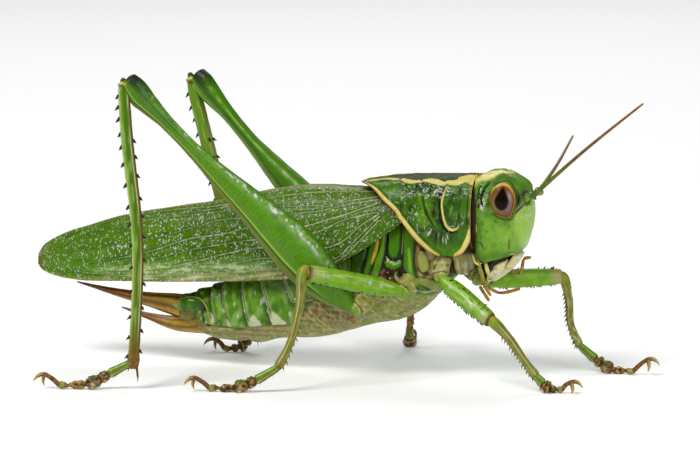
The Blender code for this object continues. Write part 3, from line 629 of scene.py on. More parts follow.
print("head")
head = {
    "rows": [  # height, front x, half width, forward rise
        (14.75, 21.3, 2.9, 0.29), (15.4, 21.8, 3.45, 0.24), (16.7, 22.2, 3.85, 0.14), (18.4, 22.6, 4.05, 0.05),
        (20.6, 22.7, 4.15, 0), (22.4, 22.45, 4.05, 0), (23.5, 21.95, 3.65, 0), (24.4, 20.8, 2.6, 0),
        (25, 19.3, 1, 0),
    ],
    "middle": 18.9,
    "rear": 16.12,
    "squareness": (2.3, 5),  # in front, behind
    "eyeGrid": (76, 136),
    "grid": (220, 306),
    "eye": (19.94, 3.66, 21.95),
    "eyeHalf": (1.55, 2.07),
    "sockets": [(22.75, 1.55, 22.2), 0.62],
    "crown": [(16.2, 1.25), (17.6, 1.15), (18.5, 0.95), (19.4, 0.5), (20.2, 0.02), (20.5, 0.1), (19.95, 1.2),
              (19.4, 1.85),
              (18.9, 2.35), (18.2, 2.9), (17.1, 3.2), (16.2, 3.3)],
    "creases": [  # x and z along the line, half widths, depth
        ([(18.2, 23.9), (17.75, 23.3), (17.5, 22.7), (17.3, 22.1), (17.55, 21.2)], (0.1, 0.2, 0.16, 0.12, 0.05), 0.3),
        ([(17.1, 23.4), (16.9, 22.6), (16.75, 21.8), (16.6, 21)], (0.12, 0.18, 0.13, 0.05), 0.25),
        ([(21.15, 19.75), (21.2, 19), (21.12, 18), (21, 17.4)], (0.04, 0.035, 0.03, 0.03), 0.07),
        ([(20.72, 17.3), (20.66, 16.9), (20.6, 16.4), (20.58, 15.95)], (0.03, 0.08, 0.1, 0.06), 0.12),
        ([(16.85, 16.75), (17.15, 16.7), (17.42, 16.45), (17.6, 15.8)], (0.03, 0.06, 0.08, 0.05), 0.16),
        ([(19.78, 16.38), (20.29, 16.92)], (0.03, 0.03), 0.05),
        ([(17.1, 18.3), (17.25, 17.7), (17.35, 17.2)], (0.03, 0.05, 0.02), 0.1),
        ([(18.6, 19.3), (18.9, 19.5)], (0.05, 0.03), 0.04),
    ],
}


# the ring at each height is an oval with its own reach ahead and behind, squarer behind; the rows follow a spline
def headSurface(rows, cols):
    t = np.linspace(0, 1, rows)
    z, front, half, rise = curve(head["rows"], t).T
    top = (z - 14.75) / 10.25
    rear = head["rear"] + 1.5 * np.clip(top - 0.92, 0, 1) / 0.08 + 0.5 * np.clip(0.1 - top, 0, 1) / 0.1
    across, along = oval(cols, np.where(np.sin(turns(cols)) > 0, *head["squareness"]))
    reach = np.where(along[None] > 0, (front - head["middle"])[:, None], (head["middle"] - rear)[:, None]) * along[None]
    grid = np.stack([head["middle"] + reach, half[:, None] * across[None], z[:, None] + rise[:, None] * reach], -1)
    return domed(grid, 0.35, 0.12, 10)


# the eye's outline: a circle with one drawn-out corner low in front, as a factor on its radius
def eyeOutline(angle):
    turn = (np.degrees(angle) + 180) % 360 - 180
    return 1 + 0.17 * hill(turn, -58, 17) - 0.03 * hill(turn, -120, 30)


# eyePlace reads how far out from the eye's middle a point is, with the outline at 1, and at what angle
def eyePlace(points):
    x = (points[..., 0] - head["eye"][0]) / head["eyeHalf"][0]
    z = (points[..., 2] - head["eye"][2]) / head["eyeHalf"][1]
    angle = np.arctan2(z, x)
    return np.hypot(x, z) / eyeOutline(angle), angle


# the head's surface is raised or sunk by each mark's height times its mask, and coloured by the same masks
def makeHead():
    grid = headSurface(*head["grid"])
    p = folded(grid)
    flank, inFront = p[..., [0, 2]], grid[..., [1, 2]]
    x, y, z = np.moveaxis(p, -1, 0)
    side = ramp(0.9, 2, y)
    ahead = ramp(20.6, 21.6, x + 0.25 * (z - 19))
    radius, angle = eyePlace(p)
    outer = y > 1.6
    rise = 0.03 * noise(p, 1.3) + 0.012 * noise(p, 0.4, 2)
    ring = np.where(outer, hill(radius, 1.08, 0.06), 0)
    brow = np.where(outer, hill(radius, 1.36, 0.12), 0) * ramp(-1, 0.2, np.sin(angle) + 0.3 * np.cos(angle))
    rise += 0.14 * brow - 0.22 * ring
    # painted shade: each crease is darkened in step with its depth
    creaseShade = np.zeros(x.shape)
    for line, widths, depth in head["creases"]:
        mask = stripe(flank, line, widths, 0.06) * side
        rise -= depth * mask
        creaseShade = np.maximum(creaseShade, mask * min(1, depth * 5))
    knob, size = head["sockets"]
    away = np.linalg.norm(p - np.array(knob), axis=-1)
    rise += 0.55 * ramp(size * 1.15, size * 0.3, away) - 0.3 * hill(away, size * 1.45, 0.2)
    pit = hill(away, size * 1.45, 0.25) * ramp(2, -0.5, x - 22.2)
    pit += stripe(p, [(22.1, 2.7, 22.9), (21.8, 2.9, 22.3), (21.7, 3, 21.7)], 0.25, 0.15)
    under = stripe(p, [(21.35, 3.3, 20.35), (21.7, 2.95, 20.75), (22.25, 2.2, 21.3)], (0.1, 0.2, 0.14), 0.07)
    rise -= 0.2 * under
    rise += 0.12 * stripe(p, [(21.4, 3.25, 20.2), (21.75, 2.95, 20.58), (22.3, 2.2, 21.12)], 0.08, 0.08)
    crown = plate(np.stack([x, y], -1), head["crown"]) + 0.12 * noise(p, 0.7, 3)
    band = ramp(-0.05, 0.06, crown) * (z > 22.5)
    rise += 0.07 * band
    wrinkle = ramp(18.7, 17.4, x) * ramp(19.8, 21, z) * ramp(24, 23.2, z) * side
    folds = noise(p * [1, 1, 0.45], 0.28, 5)
    rise += 0.1 * wrinkle * folds
    faceFolds = hill(x, 22.2, 0.6) * ramp(19, 20, z) * ramp(22, 21.2, z)
    rise += 0.05 * faceFolds * noise(p, 0.3, 6)
    seam = [(-3.2, 15.75), (-2.6, 15.55), (0, 15.15), (2.6, 15.55), (3.2, 15.75)]
    suture = stripe(inFront, seam, 0.06, 0.05) * ramp(20.2, 20.7, x)
    rise -= 0.12 * suture
    lip = inFront[..., 1] - np.interp(y, [0, 2.6, 3.3], [15.15, 15.55, 15.8])

    strip = plate(flank, [(15.9, 20.6), (16.25, 20.5), (16.5, 19.4), (16.85, 18.3), (16.3, 17.5), (15.9, 17.4)])
    tint = coats(
        "cheek",
        ("bright", cloud(p, 2.2, 8, 0, 0.6) * 0.45),
        ("bright", ramp(22.2, 23.4, z) * 0.7),
        ("leaf", cloud(p, 0.9, 14, 0.1, 0.5) * ramp(21.8, 20.6, x) * 0.5),
        ("moss", cloud(p, 0.35, 15, 0.42, 0.6) * ramp(21.8, 20.6, x) * 0.6),
        ("lime", cloud(p, 0.6, 16, 0.15, 0.5) * 0.3),
        ("leaf", hill(radius, 1.25, 0.25) * outer * 0.45),
        ("leaf", ramp(18.2, 17, x) * 0.4 * ramp(24, 22, z)),
        ("leaf", ramp(17.6, 16.6, x) * ramp(20, 18, z) * 0.55),
        ("leaf", hill(z, 15.2, 0.5) * ramp(21, 20.2, x) * 0.5),
        ("face", ahead * ramp(22.6, 21.2, z) * 0.85),
        ("chalk", ahead * ramp(17.4, 15.8, z) * 0.45),
        ("face", hill(z, 17.6, 1.4) * hill(x, 20.4, 1) * 0.35),
        ("lime", hill(z, 15.6, 0.8) * hill(x, 17.6, 1) * 0.35),
        ("glint", faceFolds * wrinkles(p, 0.4, 9) * 0.9),
        ("moss", hill(x, 21.75, 0.4) * ramp(20.6, 21.4, z) * ramp(23.4, 22.4, z) * side * 0.85),
        ("chalk", ramp(0.15, -0.25, lip) * ramp(20.4, 20.9, x) * 0.9),
        ("rust", suture * 0.9),
        # painted shade in the wrinkles' valleys behind the eye, painted highlights on their crests
        ("black", wrinkle * ramp(0.05, -0.35, folds)),
        ("glint", wrinkle * wrinkles(p * [1, 1, 0.5], 0.3, 17) * 0.9),
        ("moss", creaseShade * 0.9),
        # painted shade: black down the deep crease behind the eye
        ("black", stripe(flank, head["creases"][0][0], 0.09, 0.08) * side * 0.9),
        # painted shade in the pit round the feeler's socket
        ("moss", np.clip(pit, 0, 1) * 0.85),
        ("black", np.clip(pit - 0.4, 0, 1)),
        # painted shade in the groove under the feeler, and a painted highlight on its raised lip
        ("black", under),
        ("chalk", stripe(p, [(21.4, 3.25, 20.25), (21.75, 2.95, 20.62), (22.3, 2.2, 21.15)], 0.07, 0.05) * 0.9),
        ("cream", band),
        ("olive", band * cloud(p * [0.5, 1, 1], 0.6, 18, 0.1, 0.6) * 0.5),
        ("olive", hill(crown, 0.03, 0.09) * band * 0.6),
        ("sage", hill(away, 0.2, 0.35) * 0.7),
        ("cream", ramp(-0.03, 0.05, strip) * side),
        # painted shade in the groove round the eye
        ("moss", ring * 0.7),
        # painted shade where the head's rear meets the neck shield
        ("umber", ramp(16.5, 16.2, x) * ramp(1.9, 2.4, y) * ramp(17.4, 16.9, z)),
        ("black", ramp(16.3, 16.14, x) * (y < 3.85) * 0.9),
    )
    gloss = 0.45 + 0.4 * wrinkle + 0.3 * under + 0.15 * noise(p, 0.8, 4)
    build("headCapsule", [part(raised(grid, rise), tint, gloss)], headShell, ["head"])


# each eye is a lens over the drawn outline: its bulge is the root of one less the radius squared
def makeEyes():
    rows, cols = head["eyeGrid"]
    radius = np.sin(np.linspace(0, np.pi, rows))[:, None]
    face = np.cos(np.linspace(0, np.pi, rows))[:, None]
    angle = turns(cols)[None]
    x = radius * np.cos(angle) * eyeOutline(angle)
    z = radius * np.sin(angle) * eyeOutline(angle)
    wide = np.broadcast_to(radius, x.shape)
    rim = np.where(face > -0.2, hill(wide, 0.93, 0.06), 0)
    tilt = -0.27 * x - 0.16 * z
    out = head["eye"][1] + tilt + np.where(face > 0, 0.92, 0.7) * face + 0.05 * rim
    grid = np.stack([head["eye"][0] + head["eyeHalf"][0] * x, out, head["eye"][2] + head["eyeHalf"][1] * z], -1)
    flat = np.stack([x, z], -1)
    pupil = plate(flat, [(0.09, 0.72), (0.3, 0.45), (0.5, 0.05), (0.5, -0.15), (0.35, -0.42), (0.03, -0.54),
                         (-0.3, -0.42),
                         (-0.49, -0.12), (-0.42, 0.15), (-0.15, 0.5)])
    inner = 0.86 - 0.05 * ramp(0.2, 0.9, z) + 0.03 * ramp(-0.2, -0.9, z)
    tint = coats(
        "violet",
        ("olive", ramp(0.1, -0.6, x + 0.5 * z) * 0.5),
        ("brown", ramp(0, 0.6, z - 0.2 * x) * 0.9),
        ("brown", ramp(-0.4, -0.85, z) * 0.6),
        ("brown", ramp(-0.3, -0.8, x) * 0.5),
        # painted highlight: a pale patch high on the front of the lens
        ("chalk", plate(flat, [(0.45, 0.55), (0.72, 0.3), (0.7, 0), (0.55, -0.05), (0.5, 0.2)]) * 1.8),
        ("umber", ramp(-0.09, 0.02, pupil)),
        ("black", ramp(-0.02, 0.1, pupil) * 0.9),
        ("brown", hill(wide, inner - 0.02, 0.035)),
        ("brown", ramp(inner - 0.02, inner + 0.03, wide)),
        ("gold", ramp(inner, inner + 0.04, wide) * ramp(-0.3, 0.7, z) * 0.8),
        ("olive", ramp(inner, 1, wide) * 0.25),
        ("brown", ramp(inner, 1, wide) * ramp(0.75, 0.1, z) * 0.4),
        ("cream", ramp(inner + 0.05, inner + 0.1, wide) * ramp(0, 0.8, z) * 0.45),
        ("gold", hill(wide, 0.95, 0.02) * 0.6),
        ("brown", ramp(inner, 1, wide) * cloud(grid, 0.5, 3, 0, 0.5) * 0.5),
        ("umber", ramp(0.965, 0.99, wide) * 0.85),
    )
    facets = 0.85 - 0.35 * rim
    for side, sign in sides.items():
        build(titled("eye", side), [part(grid * [1, sign, 1], tint, facets)], eyeLens, ["eye_" + side])


makeHead()
makeEyes()

print("feelers")
feelers = {
    "right": [(22.95, -1.6, 22.2), (29.6, -2.6, 28.1), (36.5, -3, 33.75)],
    "left": [(22.95, 1.5, 22.4), (23.6, 8, 25), (23.2, 17, 27.3)],
    "beads": 46,
    "radius": (0.3, 0.13),
    "grid": (420, 18),
    "domes": 5,
}


# a feeler is a tube whose radius swells and narrows once for each of its joints, thick at its first two
def makeFeelers():
    rows, cols = feelers["grid"]
    t, domes = np.linspace(0, 1, rows), feelers["domes"]
    thick = feelers["radius"][0] + (feelers["radius"][1] - feelers["radius"][0]) * t**0.7
    bead = np.abs(np.sin(t * feelers["beads"] * np.pi)) ** 0.5
    radius = thick * (0.86 + 0.14 * bead) + 0.3 * hill(t, 0.012, 0.018) + 0.1 * hill(t, 0.055, 0.014)
    share = shares(t, domes)
    joint = np.concatenate([np.ones(domes), bead, np.ones(domes)])[:, None]
    for side in sides:
        path = curve(feelers[side], t)
        sideways, up = frames(path, np.array([0.3, 0.3, -1]))
        grid = domed(tube(path, sideways, up, np.repeat(radius[:, None], 3, 1), cols), 0.15, 0.1, domes)
        tint = coats(
            "leaf",
            ("olive", ramp(0.05, 0.16, share) * 0.6),
            ("brown", ramp(0.16, 0.5, share) * 0.9),
            ("olive", cloud(grid, 0.5, 4, -0.1, 0.4) * ramp(0.8, 0.4, share) * 0.5),
            ("horn", ramp(0.45, 0.8, share) * 0.3),
            ("sage", ramp(0.93, 1, share) * 0.7),
            ("umber", ramp(0.75, 0.3, joint) * 0.55 * ramp(0.05, 0.12, share)),
            ("cream", hill(share, 0, 0.014) * 0.8 * cloud(grid, 0.4, 0, -0.5, 0.5)),
        )
        build(titled("feeler", side), [part(grid, tint, 0.6)], darkHorn, ["antenna_" + side])


makeFeelers()

print("mouth")
mouth = {
    "upperLip": [(20.95, 0, 15), (20.45, 0, 14.2), (19.75, 0, 13.4), (18.8, 0, 12.55), (17.95, 0, 11.95)],
    "upperLipHalf": [(2.25, 0.34, 0.3), (2.3, 0.4, 0.36), (2.15, 0.38, 0.36), (1.8, 0.34, 0.33), (1.05, 0.22, 0.25)],
    "jawHalf": [(0.95, 1.25, 1.2), (0.95, 1.1, 1.1), (0.75, 0.6, 0.6), (0.35, 0.25, 0.3)],
    "jawFront": ([11.5, 12.4, 13.2, 14, 14.9], [17.3, 17.6, 18.2, 19.2, 20.6]),  # height, x where the pale part starts
    "jawEdge": ([(20.3, 1.9, 14.72), (19.45, 2.45, 14.2), (18.6, 2.5, 13.6), (18.1, 2.3, 12.9)],
                (0.08, 0.2, 0.22, 0.08), 0.05),
    "lowerLip": [(16.6, 0, 13.5), (16.35, 0, 12.9), (16, 0, 12.1), (15.75, 0, 11.4)],
    "lowerLipHalf": [(1.6, 0.4, 0.45), (1.8, 0.6, 0.7), (1.75, 0.65, 0.8), (1.2, 0.45, 0.5)],
    "rods": [  # on each side of the lower jaw: x, y and z along the rod, radius, colour
        ([(17.45, 2.3, 14.2), (17.8, 2.45, 13.3), (18.1, 2.2, 12.3)], 0.3, "cream"),
        ([(16.5, 2.6, 14.9), (16.9, 2.75, 13.6), (17.2, 2.5, 12.3), (17, 2.2, 11.6)], 0.26, "sage"),
        ([(16, 2.9, 15.2), (16.35, 3.1, 14.4), (16.95, 3.1, 13.9)], 0.14, "cream"),
        ([(16.8, 1.8, 12.6), (17.3, 1.9, 11.9), (17.2, 1.5, 11.2)], 0.36, "cheek"),
    ],
    "palps": {
        "maxillary_right": [(17.05, -2.3, 12.6), (17.4, -2.75, 11.7), (18.2, -2.75, 10.4)],
        "maxillary_left": [(18.3, 2.8, 13.1), (20.2, 3.2, 12.3), (20.7, 3.3, 13.9), (21.5, 3.3, 14.2)],
        "labial_right": [(16.4, -0.8, 11.05), (17, -1.1, 10.3), (17.6, -1.2, 9.5)],
        "labial_left": [(16.6, 0.8, 11), (18.3, 1.2, 10.1), (20.6, 1.6, 10.6)],
    },
}


# the mouth parts are limbs along short paths; the palps swell and narrow with a sine for each of their joints
def makeMouth():
    grid, share = limbGrid(mouth["upperLip"], mouth["upperLipHalf"], 76, 100, 3, (0.2, 0.15))
    p = folded(grid)
    seam = hill(share, 0.42, 0.02)
    folds = noise(p * [1, 0.4, 1], 0.35)
    rise = -0.1 * seam + 0.04 * folds + 0.05 * hill(p[..., 1], 0, 0.6) * ramp(0.5, 1, share)
    tint = coats(
        "chalk",
        ("belly", ramp(0, 0.6, folds) * 0.35),
        ("cream", ramp(1.7, 2.15, p[..., 1]) * 0.6),
        ("brown", seam * 0.5 + hill(share, 1, 0.05) * 0.5),
    )
    build("upperLip", [part(raised(grid, rise), tint, 0.4)], softBelly, ["upper_lip"])
    for side, sign in sides.items():
        path = [(19, sign * 1.75, 14.9), (18.5, sign * 1.75, 13.4), (17.7, sign * 1.5, 12.4), (17.1, sign * 0.9, 11.7)]
        grid, share = limbGrid(path, mouth["jawHalf"], 80, 72, 2.4)
        grooves = np.cos(np.arctan2(grid[..., 1] - path[0][1], grid[..., 0] - 18) * 9)
        rise = 0.035 * grooves * ramp(0.1, 0.5, share)
        p = folded(grid)
        ahead = p[..., 0] - np.interp(p[..., 2], *mouth["jawFront"])
        edge = stripe(p, *mouth["jawEdge"])
        tint = coats(
            "black",
            ("umber", cloud(grid, 0.5, 0, -0.2, 0.5) * 0.8),
            ("chalk", ramp(-0.1, 0.05, ahead)),
            ("belly", ramp(-0.1, 0.05, ahead) * cloud(grid, 0.35, 4, 0, 0.5) * 0.5),
            ("black", hill(ahead, 0.02, 0.09) * 0.9),
            ("cream", edge),
            ("gold", edge * cloud(grid, 0.4, 3, 0, 0.5) * 0.5),
        )
        build(titled("jaw", side), [part(raised(grid, rise), tint, 0.6)], darkHorn, ["mandible_" + side])
    lower = limbGrid(mouth["lowerLip"], mouth["lowerLipHalf"], 70, 90)[0]
    p = folded(lower)
    lobes = noise(p, 0.5, 3)
    rise = 0.1 * lobes - 0.15 * hill(p[..., 1], 0, 0.12)
    tint = coats(
        "sage",
        ("bright", ramp(-0.2, 0.5, lobes) * 0.45),
        ("chalk", cloud(p, 0.3, 4, 0.3, 0.8) * 0.4),
        ("umber", ramp(-0.3, -0.7, lobes) * 0.8),
    )
    parts = [part(raised(lower, rise), tint, 0.5)]
    for sign in (-1, 1):
        for path, size, colour in mouth["rods"]:
            path = np.array(path) * [1, sign, 1]
            rod, along = limbGrid(path, [(size * k,) * 3 for k in (0.6, 1, 0.7)], 30, 24)
            colours = coats(colour, ("brown", ramp(0.75, 1, along) * 0.5 + hill(along, 0, 0.1) * 0.7))
            parts.append(part(rod, colours, 0.5))
    build("lowerLip", parts, softBelly, ["lower_lip"])
    for name, path in mouth["palps"].items():
        count = len(path) - 1
        grid, share = limbGrid(path, [(0.17,) * 3] * len(path), 90, 24, 2, (0.1, 0.16))
        rise = 0.07 * np.abs(np.sin(share * count * np.pi)) ** 0.6 - 0.03
        tint = coats(
            "horn",
            ("gold", cloud(grid, 0.6, 0, -0.3, 0.4) * 0.7),
            ("sage", ramp(0.5, 0.2, share) * 0.6),
            ("brown", cloud(grid, 0.4, 2, -0.2, 0.4) * 0.6),
            ("umber", hill(np.mod(share * count + 0.5, 1), 0.5, 0.06) * 0.8),
            ("gold", ramp(0.9, 1, share) * 0.5),
        )
        build(titled("palp", name), [part(raised(grid, rise), tint, 0.6)], darkHorn, ["palp_" + name])


makeMouth()

print("neck shield")
shield = {
    "margins": [  # how far round from the ridge to the lobe tip, hind margin x, front margin x
        (0, 1.6, 16.2), (0.1, 2.3, 16.2), (0.25, 4, 16.2), (0.4, 5.7, 16.2), (0.5, 7.5, 16.2), (0.6, 8.3, 16.2),
        (0.77, 9.5, 16.15), (0.91, 10.8, 15.5), (0.97, 11.6, 14.95), (1, 12.3, 14.3),
    ],
    "ridge": [(1.6, 23.1), (5, 23.75), (9, 24.15), (12.6, 24.3), (16.2, 24.35)],
    "halfWidth": [(1.6, 5.1), (9, 5.2), (12, 4.9), (16.2, 4.5)],
    "shoulder": 19.5,
    "lobe": 15.05,
    "power": 0.7,
    "grid": (345, 209),
    "wall": 0.32,
    "bands": [  # the broken cream band along each shoulder: x, y, z, half width
        [(2.3, 1.9, 23.2, 0.1), (3.5, 1.85, 23.3, 0.3), (4.6, 2, 23.45, 0.32), (5.9, 2.3, 23.55, 0.3),
         (6.9, 2.65, 23.6, 0.2)],
        [(7.5, 2.75, 23.62, 0.3), (8.2, 3.2, 23.5, 0.36), (9, 3.3, 23.5, 0.3), (9.8, 3.2, 23.6, 0.2)],
        [(10.1, 3.1, 23.65, 0.2), (10.7, 3.05, 23.68, 0.38), (11.5, 3.1, 23.65, 0.5), (12.2, 3.3, 23.5, 0.38),
         (12.75, 3.4, 23.4, 0.25)],
        [(13.05, 3.15, 23.6, 0.3), (13.5, 3.2, 23.55, 0.42), (14.1, 3.1, 23.6, 0.5), (14.65, 2.8, 23.75, 0.5)],
        [(14.95, 2.3, 23.9, 0.85), (15.5, 2.1, 23.9, 1.2), (16.3, 2.1, 23.85, 1.4)],
    ],
}


# the saddle: round the body from lobe to lobe a power of sine and cosine, then straight down the lobes
def shieldPoint(around, along):
    share = np.abs(around)
    rear, front = table(shield["margins"], share)
    x = front + (rear - front) * along
    ridge, half = table(shield["ridge"], x)[0], table(shield["halfWidth"], x)[0]
    turn = np.pi * np.minimum(share, 0.5)
    down = np.maximum(share - 0.5, 0) / 0.5
    y = half * np.sin(turn) ** shield["power"] - 0.45 * down**2
    z = shield["shoulder"] + (ridge - shield["shoulder"]) * np.maximum(np.cos(turn), 0) ** shield["power"]
    z = z + (shield["lobe"] - shield["shoulder"]) * down
    return np.stack(np.broadcast_arrays(x, np.sign(around) * y, z), -1)


# its rows are spaced by their length round a line a third of the way back
def shieldSurface(rows, cols):
    dense = np.linspace(-1, 1, 1601)
    line = shieldPoint(dense[:, None], np.full((1601, 1), 0.35))[:, 0]
    length = np.concatenate([[0], np.cumsum(np.linalg.norm(np.diff(line, axis=0), axis=1))])
    around = np.interp(np.linspace(0, length[-1], rows), length, dense)[:, None]
    return shieldPoint(around, np.linspace(0, 1, cols)[None] + 0 * around), np.abs(around)


# the shield's sheet is raised by ridges, folds and bands along pinned lines, then closed with its wall's thickness
def makeShield():
    grid, share = shieldSurface(*shield["grid"])
    n = normals(grid, wrap=False)
    if (n[..., 2] * (grid[..., 2] > 22)).sum() < 0:
        n = -n
    p = folded(grid)
    x, y, z = np.moveaxis(p, -1, 0)
    hind, front = p[:, -1:], p[:, :1]
    fromHind = toLine(p, hind[::6, 0])[0]
    fromFront = toLine(p, front[::6, 0])[0]
    roof = ramp(22.9, 23.5, z) * ramp(3.4, 2.6, y)
    rise = 0.05 * noise(p, 1.6) + 0.02 * noise(p, 0.5, 2)

    middle = hill(x, 11, 4.2) * ramp(17.2, 18.5, z) * (1 - roof)
    pucker = noise(p * [1.1, 0.5, 0.6], 0.75, 4) + 0.4 * noise(p, 0.3, 5)
    worms = wrinkles(p * [1, 0.6, 0.45], 0.5, 12) * middle * cloud(p, 0.35, 15, -0.1, 0.2)
    rise += 0.1 * middle * pucker + 0.06 * worms
    fan = np.arctan2(z - 20.2, x - 12.9)
    reach = np.hypot(z - 20.2, x - 12.9)
    rays = noise(np.stack([fan * 7, reach * 0.35, 0 * x], -1), 0.55, 6)
    fanned = hill(reach, 3, 0.95) * ramp(19.4, 18.6, z) * hill(x, 12.4, 1.9)
    rise += 0.14 * fanned * rays
    shoulderFolds = noise(p * [0.5, 1, 1.4], 0.33, 7)
    below = hill(z, 22.7, 0.55) * ramp(7, 8.2, x)
    rise += 0.07 * below * shoulderFolds

    def line(rows, widths, soft=0.06):
        return stripe(p, pin(rows, grid), widths, soft)

    ridgeU = line([(13.13, 23.24), (12.86, 22.27), (12.76, 21.21), (12.98, 19.78), (13.35, 18.79), (13.98, 18.26),
                   (14.62, 18.46), (14.85, 18.9)],
                  (0.1, 0.12, 0.13, 0.15, 0.17, 0.17, 0.12, 0.04))
    outsideU = line([(12.95, 23.3), (12.6, 22.2), (12.48, 21.2), (12.68, 19.7), (13.05, 18.5), (13.8, 17.95),
                     (14.5, 18.05)],
                    (0.08, 0.13, 0.15, 0.17, 0.14, 0.1, 0.03), 0.1)
    groove = line([(9.75, 23.8), (10.2, 22.79), (10.78, 20.81), (11.25, 19.55), (12, 18.4)],
                  (0.05, 0.1, 0.12, 0.1, 0.04), 0.08)
    spine = line([(9.6, 23.4), (9.95, 22.3), (10.45, 20.7), (10.75, 19.4), (10.95, 17.6)], (0.05, 0.14, 0.2, 0.3, 0.3),
                 0.25)
    creases = np.maximum.reduce([
        line([(14.84, 21.45), (14.8, 19.65)], 0.06), line([(14.6, 23.9), (14.75, 22.8), (14.92, 21.62)], 0.06),
        line([(12.96, 22.19), (14.42, 22.23), (15.96, 22.36)], (0.03, 0.06, 0.05)),
        line([(15, 24.1), (14.95, 22.9)], 0.05),
        line([(9.9, 24.1), (9.75, 23.5)], 0.04), line([(7.3, 24), (7.35, 23.55)], 0.05),
    ])
    keel = line([(13.9, 21.3), (13.85, 20.4), (13.7, 19.6)], (0.03, 0.12, 0.04), 0.1)
    rise += 0.16 * ridgeU - 0.24 * outsideU - 0.2 * groove + 0.12 * spine - 0.12 * creases + 0.08 * keel
    margin = table([(0, 0.1), (0.12, 0.3), (0.25, 0.42), (0.45, 0.5), (0.75, 0.56), (0.9, 0.42), (1, 0.12)], share)[0]
    hindBand = ramp(-0.05, 0.04, margin - fromHind) * ramp(0.03, 0.07, share)
    rise += 0.1 * hindBand - 0.14 * hill(fromHind, margin + 0.12, 0.12) + 0.06 * hill(fromHind, 0, 0.1)
    frontWidth = table([(0, 0), (0.55, 0), (0.64, 0.2), (0.76, 0.52), (0.88, 0.45), (0.96, 0.25), (1, 0.05)], share)[0]
    frontBand = ramp(-0.05, 0.04, frontWidth - np.abs(fromFront - 0.1)) * (frontWidth > 0.01)
    rise += 0.1 * frontBand - 0.12 * hill(fromFront, 0.42, 0.08) * ramp(0.66, 0.55, share)
    rise -= 0.08 * hill(fromFront, 0.95, 0.1) * ramp(0.6, 0.7, share)
    wavy = p + 0.1 * noise(p, 0.6, 9)[..., None]
    bands = np.zeros(x.shape)
    for rows in shield["bands"]:
        rows = np.array(rows)
        bands = np.maximum(bands, stripe(wavy, pin(rows[:, :3], grid), rows[:, 3], 0.05))
    rise += 0.1 * bands
    rise += 0.12 * roof * hill(np.abs(grid[..., 1]), 0, 0.25) - 0.05 * roof * noise(p * [0.3, 2, 1], 0.5, 8)

    glints = worms + ramp(0.25, 0.45, rays * fanned) * 0.8 + wrinkles(p * [0.6, 1, 1.2], 0.4, 13) * below
    pale = np.maximum.reduce([ridgeU * ramp(0.1, 0.5, ridgeU), bands, hindBand, frontBand])
    tint = coats(
        "leaf",
        ("moss", hill(x, 12.2, 3.2) * 0.65),
        ("bright", ramp(9.5, 5, x) * 0.35),
        ("bright", ramp(17.6, 15.6, z) * 0.6),
        ("bright", spine * 0.9),
        ("wing", hill(x, 10.7, 1.6) * hill(z, 20, 2.6) * 0.7),
        ("bright", keel * 0.7),
        ("bright", ramp(14.6, 15.6, x) * ramp(18, 21, z) * 0.3),
        ("moss", roof * 0.9 * ramp(2, 5, x)),
        ("black", roof * 0.4 * ramp(2, 6, x)),
        ("leaf", roof * cloud(p * [0.4, 1, 1], 0.9, 17, 0, 0.5) * 0.35),
        ("brown", roof * cloud(p * [0.25, 1, 1], 0.6, 14, 0.1, 0.6) * 0.25),
        ("bright", cloud(p, 1.1, 10, 0, 0.6) * 0.3),
        # painted shade in the pucker's sunken parts, and painted light on its raised parts
        ("moss", middle * ramp(0, -0.4, pucker) * 0.8),
        ("black", middle * ramp(-0.3, -0.6, pucker) * 0.8),
        ("bright", middle * ramp(0.15, 0.5, pucker) * 0.5),
        # painted shade between the fanned ridges
        ("black", fanned * ramp(-0.1, -0.4, rays)),
        # painted shade in the grooves and creases
        ("black", np.clip(outsideU * 1.1 + groove * 0.8 + creases * 0.8, 0, 1) * 0.9),
        ("glint", np.clip(glints, 0, 1) * 0.8),
        ("cream", pale),
        ("olive", hill(pale, 0.5, 0.3) * 0.6),
        ("gold", pale * cloud(p, 0.45, 16, 0.1, 0.6) * 0.45),
        ("black", roof * hill(y, 0, 0.25) * 0.4),
        ("brown", ramp(0.13, 0.05, fromHind) * 0.9),
        ("amber", hill(fromHind, 0.16, 0.07) * 0.5),
        ("amber", hill(fromFront, 0.02, 0.08) * 0.7),
        # painted shade in the groove behind the front band
        ("black", hill(fromFront, 0.42, 0.07) * ramp(0.66, 0.55, share) * 0.8 * ramp(0.3, 0.4, share)),
    )
    gloss = 0.6 + 0.35 * middle - 0.45 * np.maximum(bands, hindBand) + 0.1 * noise(p, 0.9, 11) - 0.4 * roof
    sheet = shell(grid + n * rise[..., None], shield["wall"], tint, gloss)
    build("neckShield", [sheet], backShell, ["pronotum"])


makeShield()

